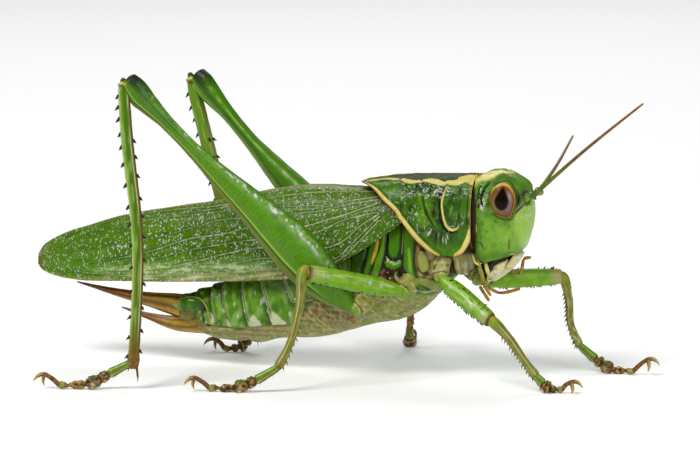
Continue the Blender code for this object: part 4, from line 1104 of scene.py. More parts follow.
print("neck and thorax")
trunk = {
    "thorax": [(1, 13.3, 3.8, 6, 8.1), (3.5, 13.3, 3.95, 7.2, 7.3), (6.5, 13.4, 3.95, 7.8, 6.8), (9, 13.8, 3.8, 7.9, 6),
               (11.2, 14.6, 3.5, 7.9, 4.7), (13.2, 15.6, 3.1, 7.2, 3.7)],
    "core": [(2, 20.2, 3.4, 1.5, 1.7), (8, 20.5, 3.7, 1.5, 1.8), (10.4, 20.7, 4.4, 2.5, 2.1),
             (13.2, 20.8, 4.3, 2.8, 2.2), (14.9, 20.8, 4.1, 2.8, 2.2)],
    "neck": [(13.5, 16.6, 2.7, 4.6, 4.2), (14.6, 16.9, 2.6, 4.6, 4.6), (16.3, 17.4, 2.6, 4.2, 3.6)],
    "collar": [(14.4, 19.6, 3.6, 4, 3.6), (15.6, 19.65, 4.25, 4.45, 4.2), (16.3, 19.7, 4.1, 4.35, 4.1),
               (16.6, 19.7, 3.9, 4.2, 4)],
    "plates": [  # outline in x and z, colour, height
        ([(3.5, 15.9), (4.75, 17.2), (4.68, 15.42), (4.1, 13.8), (3.6, 12.2), (2.7, 12.2), (3.1, 13.76)], "leaf", 0.22),
        ([(4.8, 17.2), (5.5, 17.9), (5.5, 15.46), (5.22, 14.1), (4.6, 11.6), (3.8, 11.8), (4.3, 14.13), (4.75, 15.42)],
         "bright", 0.3),
        ([(5.9, 17.9), (7.45, 18.6), (7.5, 16.37), (7.3, 14.9), (6.65, 14.3), (5.95, 14.8), (5.8, 16.52)], "leaf",
         0.42),
        ([(5.45, 14), (6, 14.25), (6.6, 13.98), (7.3, 14.2), (7.6, 14.1), (7.45, 13.45), (6.6, 13.05), (5.7, 13.3)],
         "bright", 0.35),
        ([(7.75, 18.3), (9.3, 18.3), (9.15, 15.6), (9.12, 14), (9.45, 12.5), (10.4, 11.2), (11.3, 10.35), (10.5, 10),
          (9.4, 10.6),
          (8.5, 12.2), (7.72, 13.3), (7.68, 14.81)], "leaf", 0.35),
        ([(9.5, 15), (10.2, 15.4), (10.7, 14.6), (10.9, 13.3), (10.1, 12.8), (9.6, 13.4)], "sage", 0.2),
        ([(9, 12.1), (9.8, 12.2), (11.3, 11.8), (12.3, 10.9), (11.4, 10.2), (10.4, 11)], "pea", 0.22),
        ([(1.3, 14.8), (2.5, 15.9), (3.2, 15.3), (2.7, 13.4), (2, 11.5), (1.2, 11.2)], "fern", 0.2),
        ([(6.9, 11.7), (8.1, 12.4), (9.3, 11), (8.8, 9.5), (7.2, 8.7), (6.6, 9.8)], "pea", 0.25),
        ([(5, 12.7), (6.6, 13), (7, 11.9), (6.2, 10.8), (4.9, 11)], "umber", -0.1),
    ],
    "stripes": [  # colour, amount, x and z along the line, half width, softness
        ("gold", 1, [(4.62, 17), (4.45, 15.6), (4.1, 14.3), (3.85, 13.6)], (0.12, 0.17, 0.15, 0.04), 0.05),
        ("lime", 0.7, [(8.5, 15.6), (8.6, 14.2), (8.8, 12.7), (9.6, 11.4)], (0.12, 0.2, 0.16, 0.06), 0.14),
        ("chalk", 0.8, [(5.7, 14.5), (6.1, 14.08), (6.6, 13.95)], 0.05, 0.05),
        ("chalk", 0.4, [(7.62, 18.2), (7.62, 16.4), (7.55, 15)], 0.05, 0.06),
        ("chalk", 0.7, [(8.9, 10.6), (9.8, 10.5), (11.2, 10.6)], 0.08, 0.12),
    ],
    "creases": [  # x and z along each fold of the belly
        [(1, 9.2), (3, 8.6), (4.58, 8.76), (6.83, 9.3), (8.2, 9)], [(1, 6.4), (2.2, 6.9), (3.4, 7.53), (5, 8.1)],
        [(6.2, 7.4), (7.6, 7.9), (9.3, 9)], [(2.2, 10), (4, 8)],
    ],
}


# the trunk's rings are ovals between splines of centre height, half width and half heights
def trunkGrid(rows, count, cols, power=2.1):
    x, centre, half, up, down = curve(rows, np.linspace(0, 1, count)).T
    across, high = oval(cols, power)
    z = centre[:, None] + np.where(high[None] > 0, up[:, None], down[:, None]) * high[None]
    return np.stack([x[:, None] + 0 * z, half[:, None] * across[None], z], -1)


# each plate of the trunk lifts with the distance in from its outline; the soft belly below is folded by a noise
def makeThorax():
    grid = domed(trunkGrid(trunk["thorax"], 240, 270), 0.1, 0.3, 8)
    p = folded(grid)
    flank = p[..., [0, 2]]
    x, y, z = np.moveaxis(p, -1, 0)
    side = ramp(1.2, 2.2, y)
    rise = -0.15 * side * ramp(9.8, 10.8, z) + 0.03 * noise(p, 0.9)
    skin = noise(p, 0.9, 12)
    tint = coats(
        "leaf",
        ("black", side * ramp(9.8, 10.6, z) * 0.95),
        ("brown", side * ramp(8.8, 9.6, x) * ramp(11.6, 12.2, z) * 0.9),
        ("belly", side * ramp(9, 9.8, x) * ramp(11.6, 12.2, z) * ramp(-0.2, 0.3, skin) * 0.9),
        ("black", side * ramp(9, 9.8, x) * ramp(11.6, 12.2, z) * ramp(-0.2, -0.5, skin) * 0.9),
    )
    for outline, colour, height in trunk["plates"]:
        inside = plate(flank, outline)
        lift = ramp(-0.1, 0.3, inside) * side
        rise += height * lift
        tint = coats(
            tint,
            (colour, ramp(-0.02, 0.1, inside) * side),
            ("bright", ramp(0.1, 0.45, inside) * side * 0.4 * (colour == "leaf")),
            ("black", hill(inside, -0.05, 0.06) * side * 0.85),
        )
    hollow = hill(x, 6, 1.6) * hill(z, 12, 1.1) * side
    rise += 0.12 * hollow * noise(p, 0.4, 18)
    tint = coats(
        tint,
        ("brown", hollow * cloud(p, 0.4, 18, -0.3, 0.2) * 0.8),
        ("black", hollow * cloud(p, 0.4, 18, 0, -0.3) * 0.9),
        ("stone", hollow * cloud(p, 0.45, 19, 0.25, 0.45) * 0.9),
        *((colour, stripe(flank, *line) * side * amount) for colour, amount, *line in trunk["stripes"]),
    )
    belly = ramp(10.3, 9.3, z - 0.3 * np.maximum(x - 8.5, 0)) * (1 - ramp(0, 0.05, plate(flank, trunk["plates"][4][0])))
    creases = np.zeros(x.shape)
    for line in trunk["creases"]:
        creases = np.maximum(creases, stripe(flank, line, 0.05, 0.09))
    rise += belly * (0.07 * noise(p * [0.5, 1, 1.6], 0.45, 7) - 0.12 * creases)
    tint = coats(
        tint,
        ("pea", belly),
        ("belly", belly * cloud(p, 1.3, 3, -0.2, 0.5) * 0.8),
        ("clay", belly * cloud(p * [0.6, 1, 1.4], 0.6, 4, 0, 0.7) * 0.5),
        ("clay", belly * creases * 0.8),
        ("chalk", belly * cloud(p, 0.4, 6, 0.1, 0.6) * 0.35),
        ("clay", belly * cloud(p, 0.22, 20, 0.2, 0.5) * 0.5),
        ("violet", belly * cloud(p, 1.4, 21, 0.1, 0.6) * 0.3),
        ("cream", belly * stripe(flank, [(2.4, 9.1), (3.3, 8.1), (4.2, 7.2)], 0.05, 0.06) * 0.6),
    )
    gloss = 0.75 * (1 - belly) + 0.25 * belly
    # the core is a dark filler inside the trunk, painted umber and black as the shade seen in the gaps under the shield
    core = domed(trunkGrid(trunk["core"], 80, 90, 2.4), 0.2, 0.2, 4)
    coreShadeTint = coats("umber", ("black", cloud(core, 0.8, 30, -0.3, 0.4) * 0.8))
    parts = [part(raised(grid, rise), tint, gloss), part(raised(core, 0.1 * noise(core, 0.7, 31)), coreShadeTint, 0.2)]
    build("thoraxWalls", parts, sideShell, ["thorax"])


# the neck is a folded skin inside the shield, darkened towards its top as painted shade under the shield, closed in
# front by a dark collar with a groove round it whose black is painted shade in the gap before the head
def makeNeck():
    grid = domed(trunkGrid(trunk["neck"], 80, 120), 0.2, 0.1, 6)
    p = folded(grid)
    folds = np.sin(p[..., 0] * 6.5 + 1.5 * noise(p, 1)) * ramp(16.5, 14.5, p[..., 2])
    rise = 0.06 * folds + 0.1 * noise(p * [1.5, 1, 0.4], 0.6, 3)
    tint = coats(
        "belly",
        ("chalk", cloud(p * [1, 1, 0.4], 0.8, 5, -0.3, 0.6) * 0.6),
        # painted shade: darker towards the top, under the shield
        ("umber", ramp(14.6, 15.4, p[..., 2])),
        ("black", ramp(15.6, 16.6, p[..., 2]) * 0.8),
        ("clay", ramp(0.3, 0.9, -folds) * 0.4),
    )
    collar = domed(trunkGrid(trunk["collar"], 50, 120, 3), 0.05, 0.05, 4)
    ring = collar[..., 0]
    collarTint = coats(
        "umber",
        # painted shade: the collar's black bands stand for the shade of the gap
        ("black", ramp(15.8, 15.3, ring) + hill(ring, 16.25, 0.14)),
        ("amber", hill(ring, 15.98, 0.06) * 0.5),
    )
    parts = [part(raised(grid, rise), tint, 0.25), part(raised(collar, 0.06 * np.sin(ring * 14)), collarTint, 0.4)]
    build("neckSkin", parts, softBelly, ["neck"])


makeThorax()
makeNeck()

print("abdomen")
abdomen = {
    "rows": [(1.7, 12.5, 3.5, 6.4, 6.9), (0.3, 12.4, 3.88, 6.8, 7.4), (-4, 11.4, 4, 6.2, 7.5), (-8, 9.9, 3.9, 5.6, 6.2),
             (-12, 8, 3.5, 4.6, 4.95),
             (-16, 6.7, 2.8, 3.5, 3.6), (-18.5, 6.6, 2.1, 2.6, 2.9), (-21.2, 6.6, 1.2, 1.6, 1.6)],
    "seams": [  # each ring's hind edge: x high on the flank, x half way, x at the plates' lower edge
        (-21.4, -21.4, -21.4), (-19.2, -19.1, -18.6), (-17.35, -16.85, -16.1), (-15.75, -15.15, -13.95),
        (-12.85, -12.4, -11.8), (-10.3, -9.4, -8.85),
        (-7.3, -6.2, -3.4), (-4.4, -3.1, -0.6), (-1.6, -0.4, 1.2), (1.2, 1.6, 2.2),
    ],
    "step": 0.3,
    "lowerEdge": ([-22, -16.4, -13.7, -11.9, -9, -6, -3.2, 1], [5, 5.15, 4.85, 5.1, 5.5, 5.7, 9.2, 11]),  # x, height
    "lastEdge": ([(-17.3, 4.9), (-17.7, 5.35), (-17.9, 6.1), (-18.2, 7), (-18.9, 7.6)], (0.16, 0.22, 0.12, 0.08, 0.03)),
    "patches": [  # pale patches under the plates' edge, x and z
        [(-11.75, 5.9), (-11.2, 6.7), (-10.7, 6.4), (-10.2, 5.4), (-11.6, 5.3)],
        [(-8.7, 7.3), (-8.1, 7), (-7, 5.7), (-8.7, 5.6)],
        [(-14.7, 5.9), (-14.3, 5.7), (-13.9, 4.95), (-14.6, 5)],
        [(-17.2, 6.5), (-16.6, 6.4), (-16.3, 5.4), (-16.9, 5.4)],
        [(-17, 5.2), (-16.5, 5.3), (-16.4, 4.8), (-16.9, 4.8)],
    ],
    "creases": [  # folds of the skin behind the thorax, x and z
        [(-4.9, 8.6), (-3.6, 7.2), (-1.5, 5.05)], [(-4.9, 7.9), (-3.9, 6.6), (-2.3, 5)],
        [(-3.4, 9.6), (-2.6, 8.2), (-1.4, 6.9)],
    ],
}


# where along its ring each point stands: 0 at the ring's front, 1 at its hind edge
def ringShare(x, height):
    share = np.zeros(x.shape)
    lines = [
        np.where(height > 0.5, m + (t - m) * (height - 0.5) * 2, b + (m - b) * height * 2)
        for t, m, b in abdomen["seams"]
    ]
    for hind, fore in zip(lines[:-1], lines[1:]):
        share = np.where((x >= hind) & (x < fore), (fore - x) / (fore - hind), share)
    return share


# the rings step up towards their hind edges by a power of the share along them, over a belly pleated by a sine
def makeAbdomen():
    grid = domed(trunkGrid(abdomen["rows"], 310, 250, 2.2), 0.1, 0.2, 8)
    p = folded(grid)
    flank = p[..., [0, 2]]
    x, y, z = np.moveaxis(p, -1, 0)
    lower = np.interp(x, *abdomen["lowerEdge"])
    above = z - lower
    height = np.clip(above / 6, -0.3, 1.2)
    share = ringShare(x, height)
    onPlate = ramp(-0.05, 0.12, above)
    rise = abdomen["step"] * (share**1.5 - 0.45) * onPlate * (x < 1) + 0.035 * noise(p, 0.8) * onPlate
    dents = noise(p, 0.5, 3)
    rise += 0.035 * dents * onPlate
    rise -= 0.2 * hill(above, -0.1, 0.12) * ramp(-18.5, -17.5, x)
    pleats = np.sin((z * 5.5 + 0.9 * noise(p * [0.4, 1, 1], 1.2, 4)) * 1.6)
    under = 1 - onPlate
    rise += under * (0.09 * pleats * ramp(0.5, 1.6, y) + 0.07 * noise(p * [0.45, 1, 1], 0.6, 5))
    rise += 0.25 * under * hill(x, -10.8, 1.8) * ramp(4.2, 3, z)
    rise -= 0.25 * under * hill(x, -12.6, 0.6) * ramp(4.6, 3.6, z)
    edge = np.maximum(hill(share, 0.97, 0.025), hill(share, 0.88, 0.018) * ramp(-17.5, -16.5, x))
    tint = coats(
        "bright",
        ("leaf", 0.1 + 0 * x),
        ("leaf", cloud(p, 0.9, 6, -0.2, 0.5) * 0.5),
        ("lime", cloud(p, 1.1, 16, -0.1, 0.5) * 0.4),
        ("mint", cloud(p * [1, 1, 0.5], 0.7, 11, -0.1, 0.5) * 0.55),
        # painted shade at each ring's front, under the raised hind edge of the ring before
        ("moss", ramp(0.3, 0, share) * 0.75),
        ("fern", ramp(9.4, 10.6, z) * 0.6),
        ("moss", hill(share, 0.925, 0.025) * 0.8),
        ("stone", edge * ramp(0, 1, above) * (0.7 + 0.3 * noise(p, 0.5, 13))),
        # painted shade: black right at the step
        ("black", ramp(0.05, 0, share) * 0.8),
    )
    for patch in abdomen["patches"]:
        inside = plate(flank, patch, 30) + 0.12 * noise(p, 0.3, 14)
        tint = coats(tint, ("chalk", ramp(-0.1, 0.15, inside) * 0.85))
    upperSkin = ramp(-6.5, -4.5, x) * ramp(5.6, 6.8, z)
    skin = coats(
        "belly",
        ("pea", cloud(p, 1.6, 7, -0.2, 0.5) * 0.6),
        ("clay", ramp(0, 0.9, -pleats) * 0.45 * ramp(0.5, 1.6, y)),
        ("clay", cloud(p * [0.4, 1, 1], 0.5, 8, 0.1, 0.8) * 0.4),
        ("chalk", cloud(p, 0.35, 9, 0.1, 0.6) * 0.35),
        ("clay", cloud(p, 0.22, 19, 0.2, 0.5) * 0.5),
        ("violet", cloud(p, 1.4, 20, 0.1, 0.6) * 0.3),
        ("brown", hill(share, 0.97, 0.04) * 0.25),
        ("brown", upperSkin * (0.3 + 0.35 * cloud(p * [1, 1, 0.6], 0.6, 24, -0.2, 0.4))),
        ("stone", upperSkin * cloud(p * [1, 1, 0.6], 0.4, 25, 0.1, 0.4) * 0.5),
    )
    rise += 0.07 * upperSkin * noise(p * [1, 1, 0.5], 0.5, 26)
    for line in abdomen["creases"]:
        crease = stripe(flank, line, 0.05, 0.05)
        skin = coats(skin, ("cream", crease * 0.8))
        rise += 0.08 * crease
    skin = coats(skin, ("umber", stripe(flank, [(-2, 7.9), (0, 6.9), (1.7, 6.2)], 0.05, 0.08) * 0.6))
    tint = tint + (skin - tint) * under[..., None]
    tail = ramp(-17.3, -18.9, x + 0.25 * (z - 5.5) + 0.6 * noise(p, 0.9, 17))
    tint = coats(
        tint,
        # painted shade in the groove along the plates' lower edge near the tail
        ("black", hill(above, -0.08, 0.08) * ramp(-18.5, -17.5, x) * 0.35),
        ("olive", tail * 0.8 * ramp(8.3, 7.4, z)),
        ("horn", tail * 0.35 * ramp(7.5, 5.5, z)),
        ("umber", tail * cloud(p * [0.3, 1, 1.4], 0.4, 10, 0, 0.5) * 0.7),
        ("black", stripe(flank, *abdomen["lastEdge"], 0.08) * 0.85),
    )
    gloss = 0.8 * onPlate + 0.25 * under
    # where painted highlight strokes lie on the plates
    glintMarks = onPlate * ramp(0, -4, x) * ramp(10.2, 9.4, z) * 0.5
    build("abdomenRings", [part(raised(grid, rise), tint, gloss)], sideShell, ["abdomen"], glintMarks)


makeAbdomen()

print("tail")
tail = {
    "upper": [(-19.4, 0, 6.9), (-21.2, 0, 7.1), (-22.8, 0, 7.4), (-26, 0, 7.75), (-30.5, 0, 8.35), (-34.8, 0, 9.2)],
    "upperHalf": [(1.5, 1.3, 1.6), (1.25, 1.2, 1.75), (1, 0.95, 1.6), (0.62, 0.6, 1.05), (0.36, 0.34, 0.45),
                  (0.1, 0.09, 0.1)],
    "lower": [(-17.2, 0, 5), (-19.6, 0, 4.75), (-22.4, 0, 4.65), (-25.6, 0, 5.35), (-29, 0, 6.3)],
    "lowerHalf": [(1.7, 1.1, 1.2), (1.4, 1.2, 1.1), (0.85, 0.95, 0.75), (0.45, 0.45, 0.38), (0.1, 0.09, 0.1)],
    "grid": (210, 72),
    "stripes": 7,
    "feeler": [(-17.6, 2.35, 7.3), (-19.2, 2.3, 7.5), (-20.6, 2.2, 7.25), (-21.8, 2.1, 7.3)],
    "feelerHalf": [(0.3, 0.55, 0.55), (0.6, 0.85, 0.8), (0.5, 0.68, 0.65), (0.12, 0.12, 0.12)],
    "arc": [(-16.9, 2.6, 6), (-17.3, 2.75, 7.3), (-18.2, 2.45, 8.2), (-19.8, 1.9, 8.3), (-21.3, 1.3, 7.9)],
    "arcHalf": [(0.08, 0.08, 0.08), (0.1, 0.12, 0.12), (0.1, 0.12, 0.12), (0.08, 0.1, 0.1), (0.04, 0.04, 0.04)],
}


# the tail's two blades taper to a point, striped by a sine round them; a feeler with an arc sits on each side
def makeTail():
    rows, cols = tail["grid"]
    for level in ("upper", "lower"):
        grid, share = limbGrid(tail[level], tail[level + "Half"], rows, cols, 2.2, (0.1, 0.25))
        stripes = np.sin(turns(cols)[None] * tail["stripes"] + 1.2 * noise(grid * [0.25, 1, 1], 1.5))
        rise = 0.045 * stripes * ramp(1, 0.7, share) + 0.02 * noise(grid * [0.4, 1, 1], 0.4, 3)
        tint = coats(
            "horn",
            ("brown", ramp(0.4, 0.7, share) * 0.5),
            ("olive", ramp(0.75, 0.3, share) * 0.6),
            ("gold", ramp(0.7, 0.1, share) * (0.5 + 0.3 * noise(grid * [0.4, 1, 1], 0.7, 6))),
            ("umber", ramp(0.2, 0.9, -stripes) * 0.6),
            ("gold", ramp(0.4, 0.95, stripes) * 0.4 * ramp(1, 0.5, share)),
            ("umber", ramp(0.75, 1, share) * 0.7),
            ("brown", cloud(grid * [0.3, 1, 1], 0.8, 5, 0, 0.6) * 0.4),
        )
        if level == "upper":
            tint = coats(tint, ("leaf", ramp(0.2, 0.08, share) * ramp(7.2, 8, grid[..., 2]) * 0.8))
        parts = [part(raised(grid, rise), tint, 0.6)]
        build(titled("ovipositor", level), parts, darkHorn, ["ovipositor_" + level])
    for side, sign in sides.items():
        mirror = np.array([1, sign, 1])
        grid, share = limbGrid(tail["feeler"] * mirror, tail["feelerHalf"], 90, 60, 2.2, (0.1, 0.1))
        rise = 0.02 * noise(grid, 0.5)
        tint = coats(
            "leaf",
            ("bright", cloud(grid, 0.7, 2, -0.2, 0.6) * 0.5),
            ("sage", ramp(0.55, 0.85, share) * 0.7),
            ("moss", hill(share, 0.1, 0.08) * 0.5),
        )
        arc = limbGrid(tail["arc"] * mirror, tail["arcHalf"], 60, 20)[0]
        arcTint = coats("sage", ("umber", cloud(arc, 0.35, 0, 0, 0.6) * 0.6))
        tint = coats(tint, ("umber", ramp(0.12, 0.04, share) * 0.8))
        parts = [part(raised(grid, rise), tint, 0.8), part(arc, arcTint, 0.5)]
        build(titled("tailFeeler", side), parts, sideShell, ["cercus_" + side])


makeTail()

print("wings")
wings = {
    "edges": [  # x, upper edge, lower edge, half width low down, distance of the upper edge from the middle
        (8.4, 22.3, 19.4, 4.2, 0.1), (6, 22.35, 17.5, 4.45, 0.1), (3, 22.35, 15.4, 4.75, 0.1),
        (0, 22.4, 13.7, 4.9, 0.1),
        (-4.5, 22.4, 11.9, 5, 0.1), (-10, 21.6, 11.15, 4.85, 0.1), (-16.2, 20.1, 10.7, 4.2, 0.1),
        (-22.5, 19, 10.25, 3.2, 0.12),
        (-28.5, 17.8, 9.95, 2.3, 0.16), (-33.5, 16.3, 9.7, 1.6, 0.22), (-37, 15, 10, 1.15, 0.28),
        (-39, 13.8, 10.6, 0.9, 0.3),
        (-39.8, 12.7, 11.4, 0.75, 0.35),
    ],
    "grid": (129, 533),
    "wall": 0.25,
    "veins": [  # x and z down the wing, half width
        ([(4.5, 22.1), (0.5, 22), (-3.7, 21.75), (-8, 21.15), (-15.9, 19.6), (-21.4, 18.86), (-26.3, 18), (-31, 16.8),
          (-35.5, 15.1), (-38.6, 13.2)], 0.075),
        ([(4.47, 21.6), (0.9, 21), (-3.3, 20.3), (-9, 19.9), (-16, 18.9), (-22.7, 17.91), (-25.7, 17.2), (-31, 15.9),
          (-36, 14)], 0.06),
        ([(4.5, 21.3), (0.96, 20.6), (-3.2, 19.6), (-9, 18.9), (-15.56, 18), (-17.9, 17.3), (-22.4, 15.9),
          (-25.8, 15.1), (-31, 14), (-36.5, 12.9)], 0.06),
        ([(4.66, 20.95), (1.14, 19.65), (-1.66, 18.74), (-4.2, 17.96), (-8, 17.8), (-11.85, 17.32), (-14.8, 16.5),
          (-19.3, 15.6), (-23.85, 14), (-28, 12.9), (-33, 11.9)], 0.11),
        ([(4.6, 19.9), (0.5, 18.8), (-3, 17.2), (-7, 16.6), (-11.28, 15.97), (-14.7, 15.3), (-19.2, 14.3), (-23.8, 13),
          (-28, 12.2)], 0.07),
        ([(4.86, 19.7), (2.7, 18.2), (-0.05, 16), (-4, 15.1), (-7.5, 15.2), (-10.5, 15.1), (-14.7, 14.04),
          (-17.7, 13.16), (-23, 11.9), (-30, 11.1)], 0.1),
        ([(4.9, 19.4), (3.44, 17.9), (1.37, 15.77), (-0.32, 14.33), (-4, 13.8), (-9.28, 13.9), (-13.1, 13.17),
          (-17.7, 12.4), (-23, 11.35)], 0.065),
        ([(4.93, 19), (2.77, 16.64), (0.4, 14.3), (-3, 13), (-8.67, 12.6), (-13.1, 12), (-17.7, 11.49), (-23.8, 10.85),
          (-30.1, 10.58), (-35, 10.7)], 0.085),
        ([(-2, 22), (-9, 20.9), (-16, 19.3), (-24, 17.8), (-32, 15.5), (-37, 13.3)], 0.04),
    ],
    "mesh": (0.62, 0.3),  # length and height of the small cells between the veins
    "hind": [(0, 1.5, 20.2), (-8, 1.5, 19.2), (-18, 1.2, 16.9), (-25, 0.95, 15), (-31, 0.65, 13.4)],
    "hindHalf": [(1.2, 0.35, 0.35), (1.2, 0.35, 0.35), (0.85, 0.4, 0.4), (0.5, 0.5, 0.5), (0.2, 0.35, 0.35)],
    "hindGrid": (100, 80),
    "pleats": 16,
    "lowerField": (  # distance back, share of the height that the streaky field along the lower edge takes
        [-8, 0, 4, 8, 12, 20, 30, 38], [-0.1, -0.1, 0.02, 0.11, 0.1, 0.085, 0.07, 0.03],
    ),
}


# the roof-shaped wing: from ridge to lower edge a power of sine and cosine, its rows on splines of x
def wingSurface(rows, cols):
    fine = curve(wings["edges"], np.linspace(0, 1, 600))
    x = 8.4 - 48.2 * (1 - (1 - np.linspace(0, 1, cols)) ** 1.06)
    t = np.interp(-x, -fine[:, 0], np.linspace(0, 1, 600))
    x, top, bottom, half, ridge = curve(wings["edges"], t).T
    dense = np.linspace(0, np.pi / 2, 1200)  # an average arch, whose length spaces the rows
    arch = 5 * np.sin(dense) ** 0.82, 10 * np.maximum(np.cos(dense), 0) ** 0.82
    length = np.concatenate([[0], np.cumsum(np.hypot(*np.diff(arch)))])
    turn = np.interp(np.linspace(0, length[-1], rows), length, dense)[:, None]
    power = 0.8 + 0.15 * t
    y = ridge + (half - ridge) * np.sin(turn) ** power
    z = bottom + (top - bottom) * np.maximum(np.cos(turn), 0) ** power
    return np.stack(np.broadcast_arrays(x[None], y, z), -1), np.linspace(0, 1, rows)[:, None]


# netting is the gap between the nearest and the second nearest of scattered points: small along cell walls
def netting(u, v, seed):
    points = np.random.default_rng(seed).random((256, 256, 2)) * 0.8 + 0.1
    i, j = np.floor(u).astype(int), np.floor(v).astype(int)
    first = np.full(u.shape, 9)
    second = np.full(u.shape, 9)
    for di in (-1, 0, 1):
        for dj in (-1, 0, 1):
            corner = points[(i + di) % 256, (j + dj) % 256]
            away = np.hypot(i + di + corner[..., 0] - u, j + dj + corner[..., 1] - v)
            second = np.where(away < first, first, np.minimum(second, away))
            first = np.minimum(first, away)
    return second - first


# a fore wing carries stripes along its pinned veins and a netting between; its mirror makes the other one
def makeWings():
    grid, down = wingSurface(*wings["grid"])
    n = normals(grid, wrap=False)
    n = n * np.where((n[..., 1:2] + n[..., 2:3]) < 0, -1, 1)
    x, z = grid[..., 0], grid[..., 2]
    main, flanked = np.zeros(x.shape), np.zeros(x.shape)
    for line, width in wings["veins"]:
        line = pin(line, grid)
        main = np.maximum(main, stripe(grid, line, width * np.linspace(1, 0.6, len(line)), 0.05, 90))
        flanked = np.maximum(flanked, stripe(grid, line, width + 0.14, 0.08, 60))
    flanked = np.clip(flanked - main, 0, 1)
    at, top, bottom = np.array(wings["edges"])[:, :3].T
    span = np.interp(-x, -at, top - bottom)
    upShare = (z - np.interp(-x, -at, bottom)) / span
    along, up = wings["mesh"]
    net = netting((x + 0.5 * z) / along + 300, upShare * (2.5 + span * 0.24) / up * 1.25 + 40, 3)
    cells = ramp(0.16, 0.04, net)
    fine = ramp(0.2, 0.05, netting((x - 0.4 * z) / 0.33 + 300, upShare * (3 + span * 0.3) / 0.2 + 40, 5))
    costal = ramp(0.03, 0, upShare - np.interp(-x, *wings["lowerField"]))
    rise = 0.11 * main + 0.04 * cells * (1 - main) + 0.035 * ramp(0.1, 0.6, net)
    rise += 0.05 * noise(grid, 2.2) + 0.03 * costal - 0.05 * flanked
    patchy = noise(grid * [0.5, 1, 1], 1.2, 3)
    # how shiny the wing is, and how strongly its painted highlight strokes show
    shineAndGlints = 0.6 + 0.4 * hill(upShare, 0.45, 0.4) * ramp(-1, -8, x) * ramp(-36, -24, x)
    shineAndGlints = shineAndGlints * (1 - 0.8 * main) * cloud(grid * [0.5, 1, 1], 1.5, 10, -1.1, -0.2) * ramp(0.04, 0.09, down)
    fading = ramp(-33, -17, x)
    streaks = noise(np.stack([x * 0.25, upShare * 16, 0 * x], -1), 0.8, 8)
    # a band of painted highlights above the lower field
    highlightBand = hill(upShare, 0.17, 0.07) * ramp(-6, -12, x) * ramp(-34, -26, x)
    rim = ramp(0.035, 0, upShare) * ramp(-25, -34, x) + ramp(0.07, 0.05, down) * ramp(2, -6, x)
    tint = coats(
        "wing",
        ("fern", ramp(-0.1, 0.6, patchy) * 0.45),
        ("fern", ramp(-7, 3, x) * 0.45),
        ("brown", ramp(-5, 3, x) * ramp(0.3, 0.9, upShare) * 0.2),
        ("fern", ramp(0.25, 0.6, net) * 0.35),
        ("bright", ramp(-22, -38, x) * 0.25),
        ("olive", ramp(-35.5, -39.5, x) * 0.45),
        ("bright", hill(upShare, 0.28, 0.08) * ramp(-8, -14, x) * 0.4),
        ("olive", ramp(0.75, 0.95, upShare) * ramp(-4, 3, x) * 0.35),
        ("bright", ramp(0.15, 0.5, net) * (0.25 + 0.2 * noise(grid, 1.4, 12))),
        ("fern", cells * 0.5),
        ("fern", fine * 0.25),
        ("vein", cells * cloud(grid, 1.1, 4, 0, 0.5) * 0.35),
        # painted shade down each side of the main veins
        ("fern", flanked * 0.85 * ramp(-39, -20, x)),
        # the veins pale, partly their own colour and partly painted highlight, with whiter chalk on them as painted
        # highlight
        ("vein", main * fading * (0.7 + 0.3 * noise(grid, 0.6, 6))),
        ("chalk", main * fading * cloud(grid, 0.9, 7, 0, 0.5) * 0.6),
        ("olive", costal * 0.5),
        ("stone", costal * ramp(-0.4, 0.6, streaks) * ramp(-34, -24, x) * 0.8),
        ("chalk", costal * ramp(0.3, 0.6, streaks) * ramp(-32, -20, x) * 0.6),
        # painted highlights: mint and chalk streaks in the band
        ("mint", highlightBand * 0.4),
        ("chalk", highlightBand * ramp(-0.1, 0.4, noise(np.stack([x * 0.5, upShare * 14, 0 * x], -1), 0.6, 21)) * 0.6),
        ("sage", rim * 0.9),
        ("stone", hill(down, 0.045, 0.012) * ramp(0, -8, x) * 0.6),
        ("brown", (hill(down, 0.075, 0.012) + ramp(0.022, 0.012, down)) * ramp(2, -6, x) * 0.8),
        ("brown", ramp(-38.6, -39.6, x) * 0.5),
        ("brown", ramp(0.985, 0.995, down) * 0.6),
        ("brown", ramp(8, 5, toLine(grid, [(4.4, 3.6, 22.5), (5.5, 4.4, 21.5), (6.5, 4.6, 20.5)])[0] * 8) * 0.6),
    )
    gloss = 0.6 + 0.2 * shineAndGlints + 0.15 * noise(grid, 0.7, 9) - 0.1 * main
    for side, sign in sides.items():
        turned = slice(None, None, int(sign))
        sheet = ((grid + n * rise[..., None]) * [1, sign, 1])[turned]
        parts = [shell(sheet, wings["wall"], tint[turned], gloss[turned])]
        build(titled("foreWing", side), parts, wingLeather, ["tegmen_" + side], shineAndGlints[turned])


# a hind wing is a flat limb under the fore wing, pleated like a fan: a sine round its rings
def makeHindWings():
    rows, cols = wings["hindGrid"]
    pleat = np.sin(turns(cols) * wings["pleats"])[None]
    for side, sign in sides.items():
        grid, share = limbGrid(wings["hind"] * np.array([1, sign, 1]), wings["hindHalf"], rows, cols, 3)
        tint = coats("sage", ("olive", ramp(0.2, -0.6, pleat) * 0.8))
        rise = 0.05 * pleat * ramp(0, 0.1, share)
        parts = [part(raised(grid, rise), tint, 0.4)]
        build(titled("hindWing", side), parts, wingLeather, ["hind_wing_" + side])


makeWings()
makeHindWings()

